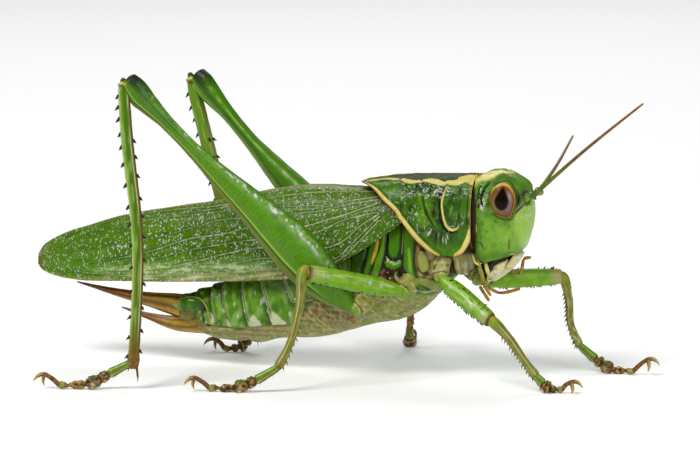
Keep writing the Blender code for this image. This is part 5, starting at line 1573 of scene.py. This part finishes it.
print("legs")
legs = {
    "hind_right": {"coxa": (3.3, -3.9, 9.6), "hip": (2.1, -5.6, 8.3), "knee": (-22.6, -14.6, 35.3),
                   "shin": [(-23.45, -14.6, 35.9), (-22.65, -15.6, 29), (-20.6, -17.8, 16.5), (-20.5, -20, 2.6)],
                   "toes": [(-23.4, -20.7, 1.75), (-25.6, -21.4, 0.7), (-28.6, -22.2, 0.45)],
                   "claws": (-31.4, -23, 1.2)},
    "hind_left": {"coxa": (3.3, 3.9, 9.6), "hip": (2.1, 5.6, 8.7), "knee": (-23.35, 12.4, 33.3),
                  "shin": [(-24.5, 12.4, 33.9), (-22.3, 12, 26), (-18.6, 10.6, 14), (-14.9, 9.2, 2.3)],
                  "toes": [(-16.2, 8.9, 1.2), (-17.2, 8.4, 0.65), (-18.4, 8, 0.45)],
                  "claws": (-20.6, 8.2, 1)},
    "middle_right": {"coxa": (8.6, -3.6, 12), "hip": (7.9, -4.9, 10.7), "knee": (-0.8, -13.9, 13.8),
                     "shin": [(-1.5, -14, 13.8), (-1.7, -14.6, 10), (-2.4, -15.7, 6), (-3.7, -16.8, 2.9)],
                     "toes": [(-6, -17.5, 1.5), (-8.4, -18.2, 0.6), (-11.2, -18.7, 0.45)],
                     "claws": (-13.9, -19.6, 1.1)},
    "middle_left": {"coxa": (8.6, 3.6, 12), "hip": (7.9, 4.9, 10.7), "knee": (4.4, 13.6, 13.6),
                    "shin": [(4.1, 14.2, 13.5), (3.6, 14.9, 10), (3.2, 15.6, 6), (2.8, 16.2, 3)],
                    "toes": [(2.4, 17.6, 1.4), (2.1, 18.8, 0.6), (1.7, 20.6, 0.45)],
                    "claws": (1.2, 22.6, 1)},
    "front_right": {"coxa": (12.3, -3, 14.4), "hip": (12.6, -4.4, 12.4), "knee": (19.6, -8, 8.3),
                    "shin": [(20, -8.1, 8.1), (21.9, -8.2, 6.3), (23.6, -8.2, 4), (25.2, -8.1, 1.9)],
                    "toes": [(26.2, -8, 0.9), (26.9, -7.9, 0.55), (28, -7.8, 0.45)],
                    "claws": (29.9, -7.6, 0.8)},
    "front_left": {"coxa": (13, 2.6, 13.6), "hip": (15.4, 3.4, 11.2), "knee": (24.1, 7.6, 11.4),
                   "shin": [(24.5, 7.9, 11.1), (25.1, 8, 8.5), (25.4, 7.9, 5.6), (26.6, 7.6, 3.1)],
                   "toes": [(28.6, 7.3, 1.6), (30.6, 7.1, 0.6), (33.1, 6.9, 0.45)],
                   "claws": (36.1, 6.9, 1.4)},
}
thighs = {  # share, half heights above and below, half width
    "hind": [(0, 0.7, 0.7, 0.6), (0.08, 1.9, 1.95, 1.2), (0.16, 2.55, 2.65, 1.55), (0.25, 2.95, 2.75, 1.7),
             (0.34, 2.75, 2.4, 1.6),
             (0.46, 2.05, 1.8, 1.35), (0.58, 1.35, 1.4, 1.05), (0.7, 0.8, 1, 0.8), (0.82, 0.82, 0.9, 0.78),
             (0.9, 1.15, 1.25, 0.9),
             (0.94, 1.4, 1.45, 1), (0.97, 1.5, 1.2, 1), (1, 1.35, 0.7, 0.9)],
    "short": [(0, 0.6, 0.6, 0.55), (0.12, 0.95, 0.95, 0.8), (0.4, 1.15, 1.15, 0.9), (0.75, 1.05, 1.05, 0.85),
              (0.93, 1, 1, 0.82),
              (1, 0.88, 0.88, 0.75)],
    "hindGrid": (290, 132, 8, 0.45, 1.01),  # rows, points round, rings of an end dome, its depth at the knee, reach
    "shortGrid": (190, 84, 8, 0.3, 1),
    "hindHairs": 60,
    "frontSpikes": 64,
    "middleSpikes": 24,
}
shins = {  # share, radius
    "hind": [(0, 0.3), (0.012, 0.4), (0.022, 0.36), (0.04, 0.68), (0.065, 0.6), (0.12, 0.72), (0.3, 0.77), (0.5, 0.75),
             (0.9, 0.68), (0.96, 0.78), (1, 0.6)],
    "short": [(0, 0.45), (0.06, 0.64), (0.16, 0.62), (0.28, 0.52), (0.45, 0.46), (0.8, 0.42), (0.95, 0.52), (1, 0.4)],
    "hindSpines": (15, 0.7),  # how many in a row, length
    "shortSpines": (13, 0.55),
    "spurs": [  # at the hind shin's end: how far forward, to the side, down and leaning forward
        (0.4, -0.25, 2.2, 0.1), (0.4, 0.25, 1.9, 0.25), (-0.35, -0.25, 0.9, -0.35), (-0.35, 0.25, 0.8, -0.3),
    ],
    "hindHairs": (150, 30, 0, (0.1, 0.25), 0.8, 0.016, "olive"),
    "shortHairs": (120, 20, 0, (0.12, 0.28), 0.8, 0.018, "brown"),
    "gloss": {"hind": 0.6, "short": 0.55},
    "hindGrid": (360, 60, 6, 0.9),  # rows, points round, rings of an end dome, half width to half height
    "shortGrid": (200, 50, 6, 0.855),
}
feet = {
    "grid": (210, 46, 6),  # rows, points round, rings of an end dome
    "hairs": (130, 8, 23, (0.1, 0.25), 0.6, 0.018, "brown"),
    "rodHalf": [(0.15, 0.28, 0.28), (0.17, 0.27, 0.27), (0.16, 0.24, 0.24)],
    "clawHalf": [(0.2, 0.26, 0.26), (0.19, 0.25, 0.25), (0.13, 0.18, 0.18), (0.03, 0.03, 0.03)],
    "hooks": [  # each claw's points after its root: ahead, left, up
        [(0, 0, 0), (0.55, 0.3, 0.02), (1.05, 0.45, -0.28), (1.4, 0.5, -0.75)],
        [(0, 0, 0), (0.25, -0.42, -0.3), (0.35, -0.55, -0.9), (0.2, -0.5, -1.45)],
    ],
    "joints": [  # share, half widths to the side, above and below
        (0, 0.3, 0.3, 0.3), (0.05, 0.44, 0.46, 0.46), (0.2, 0.5, 0.54, 0.5), (0.32, 0.54, 0.58, 0.6),
        (0.35, 0.5, 0.52, 0.58),
        (0.37, 0.42, 0.42, 0.45), (0.4, 0.6, 0.6, 0.62), (0.45, 0.72, 0.66, 0.75), (0.475, 0.66, 0.56, 0.7),
        (0.49, 0.5, 0.44, 0.55),
        (0.53, 0.7, 0.62, 0.7), (0.61, 0.86, 0.78, 0.9), (0.66, 0.74, 0.6, 0.8), (0.69, 0.36, 0.3, 0.38),
        (0.75, 0.46, 0.42, 0.5),
        (0.83, 0.46, 0.42, 0.62), (0.875, 0.24, 0.24, 0.28), (0.925, 0.22, 0.22, 0.25), (0.95, 0.36, 0.36, 0.36),
        (1, 0.44, 0.42, 0.44),
    ],
}


# sideAxis is level and square to the thigh
def sideAxis(leg):
    run = np.array(leg["knee"]) - np.array(leg["hip"])
    axis = np.array([run[1], -run[0], 0])
    return axis / np.linalg.norm(axis)


# legRings carries a leg's rings along its path; with them come each ring's share, and each point's cosine towards
# the outer side and its sine upwards
def legRings(place, leg, path, halves, cols, power, ends, domes):
    axis = sideAxis(leg)
    sideways, upward = frames(path, axis)
    grid = domed(tube(path, sideways, upward, halves, cols, power), *ends, domes)
    share = shares(np.linspace(0, 1, len(path)), domes)
    outward = np.sign(axis[1]) * sides[place.split("_")[1]]
    return grid, share, np.cos(turns(cols)) * outward + 0 * share, np.sin(turns(cols)) + 0 * share, sideways, upward


# bristles are fine spikes rooted on a grid at given rows and columns, leaning along the limb
def bristles(grid, rows, cols, length, lean, radius=0.035, colour="black", tip="umber"):
    n = normals(grid)
    ahead = np.gradient(grid.mean(1), axis=0)
    ahead /= np.linalg.norm(ahead, axis=1, keepdims=True)
    roots = grid[rows, cols]
    out = n[rows, cols] + ahead[rows] * lean
    out /= np.linalg.norm(out, axis=1, keepdims=True)
    tips = roots + out * np.asarray(length)[:, None]
    return cones(roots - n[rows, cols] * 0.03, tips, radius, tone[colour], tone[tip], 0.5, 4)


# hairs are fine bristles at random places of a grid, from a first row and column on
def hairs(grid, picks, count, firstRow, firstCol, lengths, lean, radius, colour):
    rows, cols = grid.shape[0] - 12, grid.shape[1]
    rowsAt, colsAt = picks.integers(firstRow, rows, count), picks.integers(firstCol, cols, count)
    return bristles(grid, rowsAt, colsAt, picks.uniform(*lengths, count), lean, radius, colour, "stone")


# a thigh's ridges and grooves are hills of the sine round it, and a hind thigh's comb a sine that runs along it
def makeThigh(place, leg, seed):
    hind = place.startswith("hind")
    hip, knee = np.array(leg["hip"]), np.array(leg["knee"])
    length = np.linalg.norm(knee - hip)
    kind = "hind" if hind else "short"
    rows, cols, domes, knob, reach = thighs[kind + "Grid"]
    t = np.linspace(0, 1, rows)
    up, down, thick = table(thighs[kind], t)
    start = hip + (knee - hip) / length * 0.3
    path = start + (knee - start) * t[:, None] * reach
    grid, share, c, s = legRings(place, leg, path, np.stack([thick, up, down], 1), cols, 2.15, (0.2, knob), domes)[:4]
    ending = np.concatenate([np.zeros(domes + rows), np.linspace(0.1, 1, domes)])[:, None]
    outer = ramp(-0.1, 0.35, c)
    past = ramp(0.1, 0.2, share)

    def row(place, width):  # a line along the outer side, at a height round the ring
        return hill(s, place, width) * outer

    rise = 0.03 * noise(grid, 1.2, seed)
    if hind:
        keel = row(-0.57, 0.06) * ramp(0.06, 0.15, share)
        line = row(-0.68, 0.04) * ramp(0.06, 0.15, share)
        groove = row(0.12, 0.05) * ramp(0.6, 0.75, share) * ramp(0.97, 0.93, share)
        comb = np.sin(share * length * 12 + np.abs(s + 0.05) * 8.5 + 2.4 * noise(grid, 0.6, seed + 5))
        comb += 0.9 * noise(grid, 0.25, seed + 7)
        combed = comb * row(-0.05, 0.4) * past * ramp(0.75, 0.6, share)
        rise += 0.1 * keel - 0.13 * line - 0.08 * groove + 0.012 * combed + 0.06 * row(0.9, 0.08)
        innerComb = comb * hill(s, 0, 0.5) * ramp(0.1, 0.4, -c) * ramp(0.75, 0.6, share)
        rise += 0.012 * innerComb
        inward = ramp(0.1, 0.4, -c) * past
        # painted highlight: a pale streak along the upper outer edge, also given more shine and highlight strokes
        highlightStreak = row(0.72, 0.13) * ramp(0.12, 0.2, share) * ramp(0.95, 0.8, share)
        flecks = cloud(grid, 0.45, seed + 2, 0, 0.55)
        # ragged patches where the painted glint lies
        torn = ramp(0.15, 0.3, noise(grid, 0.55, seed + 3) + 0.4 * noise(grid, 0.2, seed + 4))
        glintMarks = highlightStreak * 0.6
        cap = ramp(0.968, 0.99, share + 0.02 * noise(grid, 0.4, seed + 9)) * ramp(-0.1, 0.4, s)
        # painted highlight flecks on top near the knee
        kneeGlints = cloud(grid, 0.3, seed + 11, 0.1, 0.35)
        tint = coats(
            "bright",
            ("leaf", ramp(0.3, -0.3, s) * 0.35 * outer),
            ("leaf", ramp(0.5, 1, s) * 0.5),
            ("leaf", cloud(grid, 1.5, seed + 1, 0.1, 0.7) * 0.3),
            ("leaf", np.clip(-combed, 0, 1) * 0.25),
            ("leaf", outer * ramp(0.75, 0.85, share) * 0.4),
            ("lime", np.clip(combed, 0, 1) * 0.15),
            ("olive", ramp(-0.72, -0.8, s) * outer * 0.75),
            ("brown", hill(s, -0.97, 0.05) * 0.35),
            ("lime", keel * 0.9),
            ("face", row(-0.56, 0.025) * past * 0.7),
            ("moss", np.clip(line + groove * 0.7, 0, 1)),
            ("brown", row(-0.82, 0.03) * past * 0.6),
            ("leaf", inward * hill(s, 0.1, 0.5) * 0.4),
            ("moss", inward * hill(s, -0.2 + 0.15 * share, 0.07) * ramp(0.35, 0.5, share) * 0.9),
            ("moss", inward * hill(s, 0.15, 0.08) * ramp(0.55, 0.7, share) * 0.8),
            ("lime", inward * hill(s, -0.55, 0.05) * 0.8),
            ("brown", inward * hill(s, -0.7, 0.04) * 0.5),
            ("mint", inward * hill(s, 0.62, 0.12) * cloud(grid * [0.5, 1, 0.5], 0.6, seed + 12, -0.2, 0.4) * 0.5),
            # painted highlight: mint along the upper streak
            ("mint", highlightStreak * (0.2 + 0.5 * flecks)),
            ("glint", row(0.7, 0.1) * past * ramp(0.75, 0.5, share) * torn * 0.85),
            ("moss", row(0.5, 0.1) * cloud(grid, 0.6, seed + 6, 0.1, 0.5) * 0.6),
            ("moss", ramp(0.9, 0.975, share + 0.02 * noise(grid, 0.35, seed + 10)) * ramp(-0.2, 0.4, s) * 0.85),
            ("black", cap * 0.75),
            # painted highlight: mint flecks on top near the knee
            ("mint", hill(share, 0.89, 0.045) * row(0.72, 0.2) * kneeGlints * 0.75),
            ("cream", hill(ending, 0.25, 0.15) * ramp(0.1, -0.3, s) * 0.45),
            ("brown", ramp(0.3, 0.7, ending) * ramp(0.2, -0.3, s) * 0.5),
            ("stone", ramp(0.4, 0.8, ending) * cloud(grid, 0.4, 5, 0.1, 0.4) * 0.5),
        )
        gloss = 0.65 + 0.25 * highlightStreak + 0.1 * noise(grid, 0.8, 7) - 0.5 * cap
        picks = np.random.default_rng(seed)
        count = thighs["hindHairs"]
        rowsAt = picks.integers(50, rows - 30, count)
        colsAt = ((0.5 + picks.normal(0, 0.05, count)) * cols * 0.5 + cols * 0.5).astype(int) % cols
        spikes = bristles(grid, rowsAt, colsAt, picks.uniform(0.15, 0.3, count), 0.7, 0.02, "olive", "brown")
    else:
        ridge = row(0.42, 0.06)
        valley = row(0.12, 0.06) + row(0.7, 0.05) * 0.6
        rise += 0.05 * ridge - 0.05 * valley * ramp(0.1, 0.3, share) - 0.06 * row(-0.5, 0.06)
        lengthwise = np.stack([share * length * 0.22 + 0 * s, s * 1.3, c * 1.3], -1)
        grain = noise(lengthwise, 0.45, seed + 2)
        # how strongly painted highlight strokes show along the upper outer side
        glintMarks = row(0.3, 0.3) * ramp(0.03, 0.1, share) * 0.5
        tint = coats(
            "lime",
            ("bright", cloud(grid, 1, seed, -0.3, 0.4) * 0.45),
            ("leaf", cloud(grid, 0.5, seed + 8, 0.3, 0.6) * 0.15),
            ("bright", ramp(0.7, 1, s) * 0.6 + row(-0.5, 0.08) * 0.4),
            ("cheek", ramp(-0.5, -0.9, s) * 0.6),
            # painted highlight: a pale mint and chalk line along the upper outer side
            ("mint", row(0.36, 0.2) * ramp(0.05, 0.15, share) * 0.3),
            ("chalk", row(0.36, 0.12) * ramp(0.05, 0.15, share) * ramp(-0.2, 0.3, grain) * 0.85),
            ("chalk", row(0.5, 0.03) * ramp(-0.5, 0.1, grain) * 0.7),
            ("stone", row(-0.1, 0.12) * cloud(lengthwise, 0.5, seed + 4, -0.2, 0.4) * 0.5),
            ("bright", ramp(0, -0.5, grain) * outer * 0.4),
            ("lime", cloud(lengthwise, 0.5, seed + 6, 0, 0.5) * 0.5),
            ("stone", ramp(0.8, 0.95, share) * hill(s, 0.1, 0.5) * 0.5),
            ("brown", ramp(0.97, 1, share) * 0.75),
            ("umber", hill(ending, 0.35, 0.2) * 0.9),
            ("sage", hill(share, 0.955, 0.014) * 0.5),
        )
        if place == "front_left":
            tint = coats(tint, ("belly", ramp(0.8, 0.95, share) * 0.8))
        gloss = 0.6 + 0.15 * noise(grid, 0.8, 7)
        picks = np.random.default_rng(seed)
        count = thighs["frontSpikes" if place.startswith("front") else "middleSpikes"]
        under = picks.random(count) < 0.72
        rowsAt = picks.integers(domes + 12, rows - 4, count)
        spot = np.where(under, 0.75, 0.22) + picks.normal(0, 0.035, count)
        spot += np.sign(c[0, 0]) * np.where(under, 0.04, -0.04)
        colsAt = (spot * cols).astype(int) % cols
        spikes = bristles(grid, rowsAt, colsAt, picks.uniform(0.25, 0.5, count), 0.8, 0.1, "black", "black")
    parts = [part(raised(grid, rise), tint, gloss), spikes]
    build(titled("thigh", place), parts, legShell, ["femur_" + place], glintMarks)


# evenly spaces a smooth path's points by its length
def evenly(points, rows):
    fine = curve(points, np.linspace(0, 1, 400))
    run = np.concatenate([[0], np.cumsum(np.linalg.norm(np.diff(fine, axis=0), axis=1))])
    return np.stack([np.interp(np.linspace(0, run[-1], rows), run, fine[:, k]) for k in range(3)], 1)


# a shin's four keels are a cosine of four times the angle; its spines stand in rows, each with a drawn length
def makeShin(place, leg, seed):
    hind = place.startswith("hind")
    kind = "hind" if hind else "short"
    gloss = shins["gloss"][kind]
    rows, cols, domes, width = shins[kind + "Grid"]
    t = np.linspace(0, 1, rows)
    hip, knee = np.array(leg["hip"]), np.array(leg["knee"])
    bend = [knee + (hip - knee) / np.linalg.norm(hip - knee) * 0.3]  # a short shin starts inside the knee
    path = curve(leg["shin"], t) if hind else evenly(bend + leg["shin"], rows)
    radius = table(shins[kind], t)[0]
    halves = np.stack([radius * width, radius, radius], 1)
    grid, share, c, s, sideways, upward = legRings(place, leg, path, halves, cols, 2.6, (0.25, 0.15), domes)
    shade = ramp(0, 0.3, c)
    keels = np.cos(turns(cols)[None] * 4 + np.pi) * ramp(0.06, 0.14, share)
    rise = 0.05 * keels + 0.02 * noise(grid, 0.6, seed)
    rise -= 0.07 * hill(s, 0.25, 0.12) * ramp(0.1, 0.5, c) * ramp(0.08, 0.2, share)
    picks = np.random.default_rng(seed)
    if hind:
        lengthwise = np.stack([share * 6 + 0 * s, s * 1.3, c * 1.3], -1)
        tint = coats(
            "olive",
            ("bright", ramp(0.85, 0.2, share) * 0.6),
            # painted highlight stripe along the upper edge
            ("mint", hill(s, 0.75, 0.22) * ramp(-0.2, 0.4, c) * 0.8),
            ("leaf", hill(s, -0.05, 0.3) * ramp(0.2, 0.6, c) * 0.75),
            ("mint", cloud(lengthwise, 0.4, seed + 3, 0.1, 0.5) * 0.4),
            ("chalk", hill(s, -0.42, 0.05) * ramp(0.1, 0.4, c) * cloud(lengthwise, 0.6, seed + 5, -0.3, 0.3) * 0.8),
            # painted highlight: whiter chalk along the upper edge
            ("chalk", hill(s, 0.82, 0.1) * ramp(0, 0.4, c) * cloud(grid, 0.7, seed, -0.2, 0.5) * 0.6),
            ("rust", hill(s, -0.72, 0.17) * shade * ramp(0.07, 0.12, share) * 0.9),
            ("umber", hill(s, -0.55, 0.06) * shade * ramp(0.1, 0.2, share) * 0.7),
            ("stone", hill(s, -0.93, 0.08) * ramp(0.2, 0.4, share) * 0.5),
            ("brown", ramp(0.82, 0.98, share) * 0.85),
            ("gold", ramp(0.92, 1, share) * cloud(grid, 0.3, 3, 0.2, 0.6) * 0.4),
            ("moss", ramp(0.022, 0.016, share) * 0.95),
            ("cream", hill(share, 0.035, 0.014) * ramp(-0.9, -0.2, s + 0.4) * 0.9),
            ("brown", hill(share, 0.058, 0.013) * 0.85),
            ("umber", hill(share, 0.068, 0.01) * ramp(-0.3, 0.2, -s) * 0.7),
        )
        count, size = shins["hindSpines"]
        at = np.linspace(0.13, 0.955, count) + picks.normal(0, 0.004, count)
        lower = count - 4  # the two under rows start four spines later
        at = np.concatenate([at, at, at[4:] - 0.02, at[4:] - 0.02])
        spot = np.repeat([0.18, 0.32, 0.68, 0.82], [count, count, lower, lower])
        above, below = picks.uniform(0.8, 1.15, count), picks.uniform(0.6, 1, lower)
        lengths = np.concatenate([above, above, below, below])
        spines = ("umber", "black", 0.24)
        ahead = path[-1] - path[-12]
        ahead /= np.linalg.norm(ahead)
        front, side = -upward[-1], sideways[-1]
        roots, tips = [], []
        for forward, across, drop, lean in shins["spurs"]:
            roots.append(path[-1] + front * forward + side * across - ahead * 0.3)
            tips.append(roots[-1] + front * lean - [0, 0, drop])
        tips = np.array(tips)
        tips[:, 2] = np.maximum(tips[:, 2], 0.05)
        more = [cones(roots, tips, 0.17, tone["brown"], tone["umber"], 0.6, 8)]
    else:
        lengthwise = np.stack([share * 3 + 0 * s, s * 1.3, c * 1.3], -1)
        lines = noise(lengthwise, 0.32, seed + 3)
        tint = coats(
            "olive",
            ("bright", ramp(0.25, 0, share) * 0.5 + ramp(0.9, 0.98, share) * 0.5),
            ("sage", cloud(grid * [1, 1, 0.3], 0.8, seed, -0.2, 0.5) * 0.4),
            ("stone", hill(s, 0.72, 0.12) * ramp(-0.1, 0.3, c) * 0.85),
            ("brown", hill(s, 0.5, 0.06) * shade * 0.7),
            ("brown", hill(s, -0.6, 0.14) * shade * 0.45),
            ("lime", hill(s, -0.85, 0.08) * shade * 0.5),
            ("brown", ramp(0.05, 0, share) * 0.7 + ramp(0.965, 1, share) * 0.8),
            ("stone", ramp(0.05, 0.4, lines) * (0.7 if place == "front_left" else 0.4)),
            ("horn", ramp(-0.1, -0.4, lines) * 0.4),
            ("olive", ramp(0.35, 0.15, share) * 0.4),
            ("horn", ramp(0.16, 0.06, share) * 0.5),
            ("brown", hill(s, -0.2, 0.5) * ramp(0.13, 0.03, share) * 0.6),
        )
        if place == "middle_left":
            tint = coats(
                tint,
                ("horn", ramp(0.3, 0.7, share) * 0.7),
                ("brown", cloud(grid, 0.5, seed + 9, 0, 0.5) * ramp(0.3, 0.7, share) * 0.7),
            )
        tint = coats(tint, ("lime", ramp(0.2, 0.05, share) * ramp(0.04, 0.08, share) * 0.5))
        count, size = shins["shortSpines"]
        at = np.linspace(0.3, 0.97, count)
        at = np.concatenate([at, at + 0.02])
        spot = np.repeat([0.66, 0.84], count)
        lengths = picks.uniform(0.6, 1.3, 2 * count)
        spines, more = ("brown", "umber", 0.11), []
    rowsAt = np.clip((at * (rows - 1)).astype(int) + domes, 0, rows + 5)
    colour, tip, radius = spines
    thorns = bristles(grid, rowsAt, (spot * cols).astype(int), size * lengths, 0.9, radius, colour, tip)
    downy = hairs(grid, picks, *shins[kind + "Hairs"])
    parts = [part(raised(grid, rise), tint, gloss), thorns, *more, downy]
    build(titled("shin", place), parts, legShell, ["tibia_" + place])


# a foot runs evenly from the ankle through its pads, with its joints' half widths, and is held above the floor
def makeFoot(place, leg, seed):
    ankle, first = np.array(leg["shin"][-1]), np.array(leg["toes"][0])
    start = ankle - (first - ankle) / np.linalg.norm(first - ankle) * 0.1 + [0, 0, 0.7 * place.startswith("hind")]
    rows, cols, domes = feet["grid"]
    path = evenly(np.vstack([start, leg["toes"]]), rows)
    across = np.cross(path[-1] - path[0], [0, 0, 1])
    sideways, upward = frames(path, across / np.linalg.norm(across))
    upward = upward * np.sign(upward[:, 2:3])
    t = np.linspace(0, 1, rows)
    grid = domed(tube(path, sideways, upward, table(feet["joints"], t).T, cols, 2.1), 0.1, 0.42, domes)
    share = shares(t, domes)
    s = np.sin(turns(cols))[None] + 0 * share
    lobes = ramp(0.36, 0.4, share) * ramp(0.7, 0.67, share)
    rise = 0.14 * noise(grid, 0.42, seed) * ramp(0.34, 0.4, share)
    rise -= 0.12 * hill(s, -0.95, 0.25) * hill(np.cos(turns(cols))[None], 0, 0.2) * lobes
    firstJoint = ramp(0.36, 0.345, share)
    facets = noise(grid, 0.38, seed + 6)
    pads = hill(share, 0.34, 0.02) + hill(share, 0.45, 0.02) + hill(share, 0.62, 0.025)
    gaps = hill(share, 0.49, 0.01) + hill(share, 0.375, 0.008) + hill(share, 0.69, 0.01) + hill(share, 0.66, 0.006)
    tint = coats(
        "brown",
        ("gold", cloud(grid, 0.4, seed + 1, 0, 0.4) * 0.5),
        ("umber", cloud(grid, 0.35, seed + 2, 0, -0.4) * 0.8),
        # painted highlight: gold along the top of the foot
        ("gold", ramp(0.55, 0.85, s) * 0.35),
        ("bright", firstJoint * (0.3 if place == "middle_left" else 1)),
        ("olive", firstJoint * 0.45 + firstJoint * ramp(0.4, -0.2, s) * 0.3),
        # painted highlight: mint on top of the first joint
        ("mint", firstJoint * hill(s, 0.7, 0.15) * 0.6),
        # painted highlights: thin cream lines on the joints past the first
        ("cream", (1 - firstJoint) * hill(facets, 0.28, 0.05) * 0.7),
        ("black", (1 - firstJoint) * ramp(-0.25, -0.4, facets) * 0.8),
        ("stone", firstJoint * hill(s, -0.35, 0.13) * 0.6),
        ("brown", hill(share, 0.36, 0.014) * 0.9 + ramp(0.03, 0, share) * 0.7),
        ("leaf", ramp(0.15, 0.6, s) * (hill(share, 0.43, 0.03) + hill(share, 0.58, 0.04)) * 0.95),
        ("stone", ramp(-0.2, -0.6, s) * pads * 0.85),
        ("chalk", hill(s, -0.1, 0.2) * hill(share, 0.6, 0.02) * 0.7),
        ("black", gaps * 0.85),
        ("sage", ramp(0.945, 0.97, share) * 0.8),
        ("brown", hill(share, 0.95, 0.012) * 0.8),
    )
    grid = raised(grid, rise)
    grid[..., 2] = np.maximum(grid[..., 2], 0)
    downy = hairs(grid, np.random.default_rng(seed), *feet["hairs"])
    downy[0][:, 2] = np.maximum(downy[0][:, 2], 0)
    build(titled("foot", place), [part(grid, tint, 0.6), downy], darkHorn, ["tarsus_" + place])
    makeClaws(place, path[-1], np.array(leg["claws"]), seed)


# the claws: two rods side by side to a knuckle, and two hooks from there, each a limb along its points
def makeClaws(place, root, tip, seed):
    ahead = (tip - root) * [1, 1, 0]
    reach = np.linalg.norm(ahead)
    ahead /= reach
    left = np.array([-ahead[1], ahead[0], 0])
    climb = tip[2] - root[2] + 0.55
    top = root + ahead * reach * 0.66 + [0, 0, climb]
    cols, parts = 18, []
    for offset in (-0.1, 0.1):
        line = np.array([root + ahead * 0.3, root + ahead * reach * 0.35 + [0, 0, 0.45 * climb + 0.1], top])
        rod = limbGrid(line + left * offset, feet["rodHalf"], 36, cols, normal=left)[0]
        colours = coats(
            "brown",
            ("gold", cloud(rod, 0.3, seed, 0.1, 0.6) * 0.4),
            ("umber", cloud(rod, 0.25, seed + 2, -0.2, -0.6) * 0.7),
        )
        parts.append(part(rod, colours, 0.6))
    for steps in feet["hooks"]:
        hook = top + np.array(steps) @ np.array([ahead, left, [0, 0, 1]])
        hook[:, 2] = np.maximum(hook[:, 2], 0.08)
        claw, along = limbGrid(hook, feet["clawHalf"], 54, cols, 2, (0.1, 0.04), normal=left)
        colours = coats(
            "brown",
            ("gold", ramp(0.3, 0.7, along) * 0.6),
            ("cream", hill(np.sin(turns(cols)), -0.5, 0.4)[None] * ramp(0.1, 0.4, along) * 0.6),
            ("umber", ramp(0.88, 1, along) * 0.6),
        )
        parts.append(part(claw, colours, 0.7))
    build(titled("claws", place), parts, darkHorn, ["claws_" + place])


# a hip is a short limb from the body to the thigh, folded by a noise and grooved before its end
def makeHip(place, leg, seed):
    root, hip = np.array(leg["coxa"]), np.array(leg["hip"])
    radius = 1.25 if place.startswith("hind") else 1
    cols = 80
    halves = [(radius,) * 3, (radius,) * 3, (0.75,) * 3]
    grid, share = limbGrid([root, (root + hip) / 2, hip], halves, 74, cols, 2.2, (0.2, 0.35), 8, sideAxis(leg))
    folds = noise(grid, 0.45, seed)
    rise = 0.07 * folds + 0.08 * np.cos(turns(cols)[None] * 3 + seed) * ramp(0, 0.3, share)
    rise -= 0.14 * hill(share, 0.78, 0.04)
    base = "sage" if place.startswith("hind") else "pea"
    tint = coats(
        base,
        ("belly", cloud(grid, 0.8, seed + 1, -0.3, 0.4) * 0.7),
        ("brown", ramp(0, -0.6, folds) * 0.5),
        ("chalk", ramp(0.3, 0.7, folds) * 0.4),
    )
    if place.startswith("front"):
        tint = coats(
            tint,
            ("stone", cloud(grid, 0.6, seed + 3, -0.4, 0.3) * 0.6),
            ("umber", cloud(grid, 0.55, seed + 5, -0.2, -0.5) * 0.6),
        )
    tint = coats(
        tint,
        ("cream", hill(share, 0.85, 0.03) * 0.5),
        ("umber", hill(share, 0.78, 0.025) * 0.8),
        ("cheek", ramp(0.86, 0.95, share) * 0.7),
    )
    build(titled("hip", place), [part(raised(grid, rise), tint, 0.35)], softBelly, ["coxa_" + place])


for number, (place, leg) in enumerate(legs.items()):
    makeThigh(place, leg, 20 + number)
    makeShin(place, leg, 40 + number)
    makeFoot(place, leg, 60 + number)
    makeHip(place, leg, 80 + number)
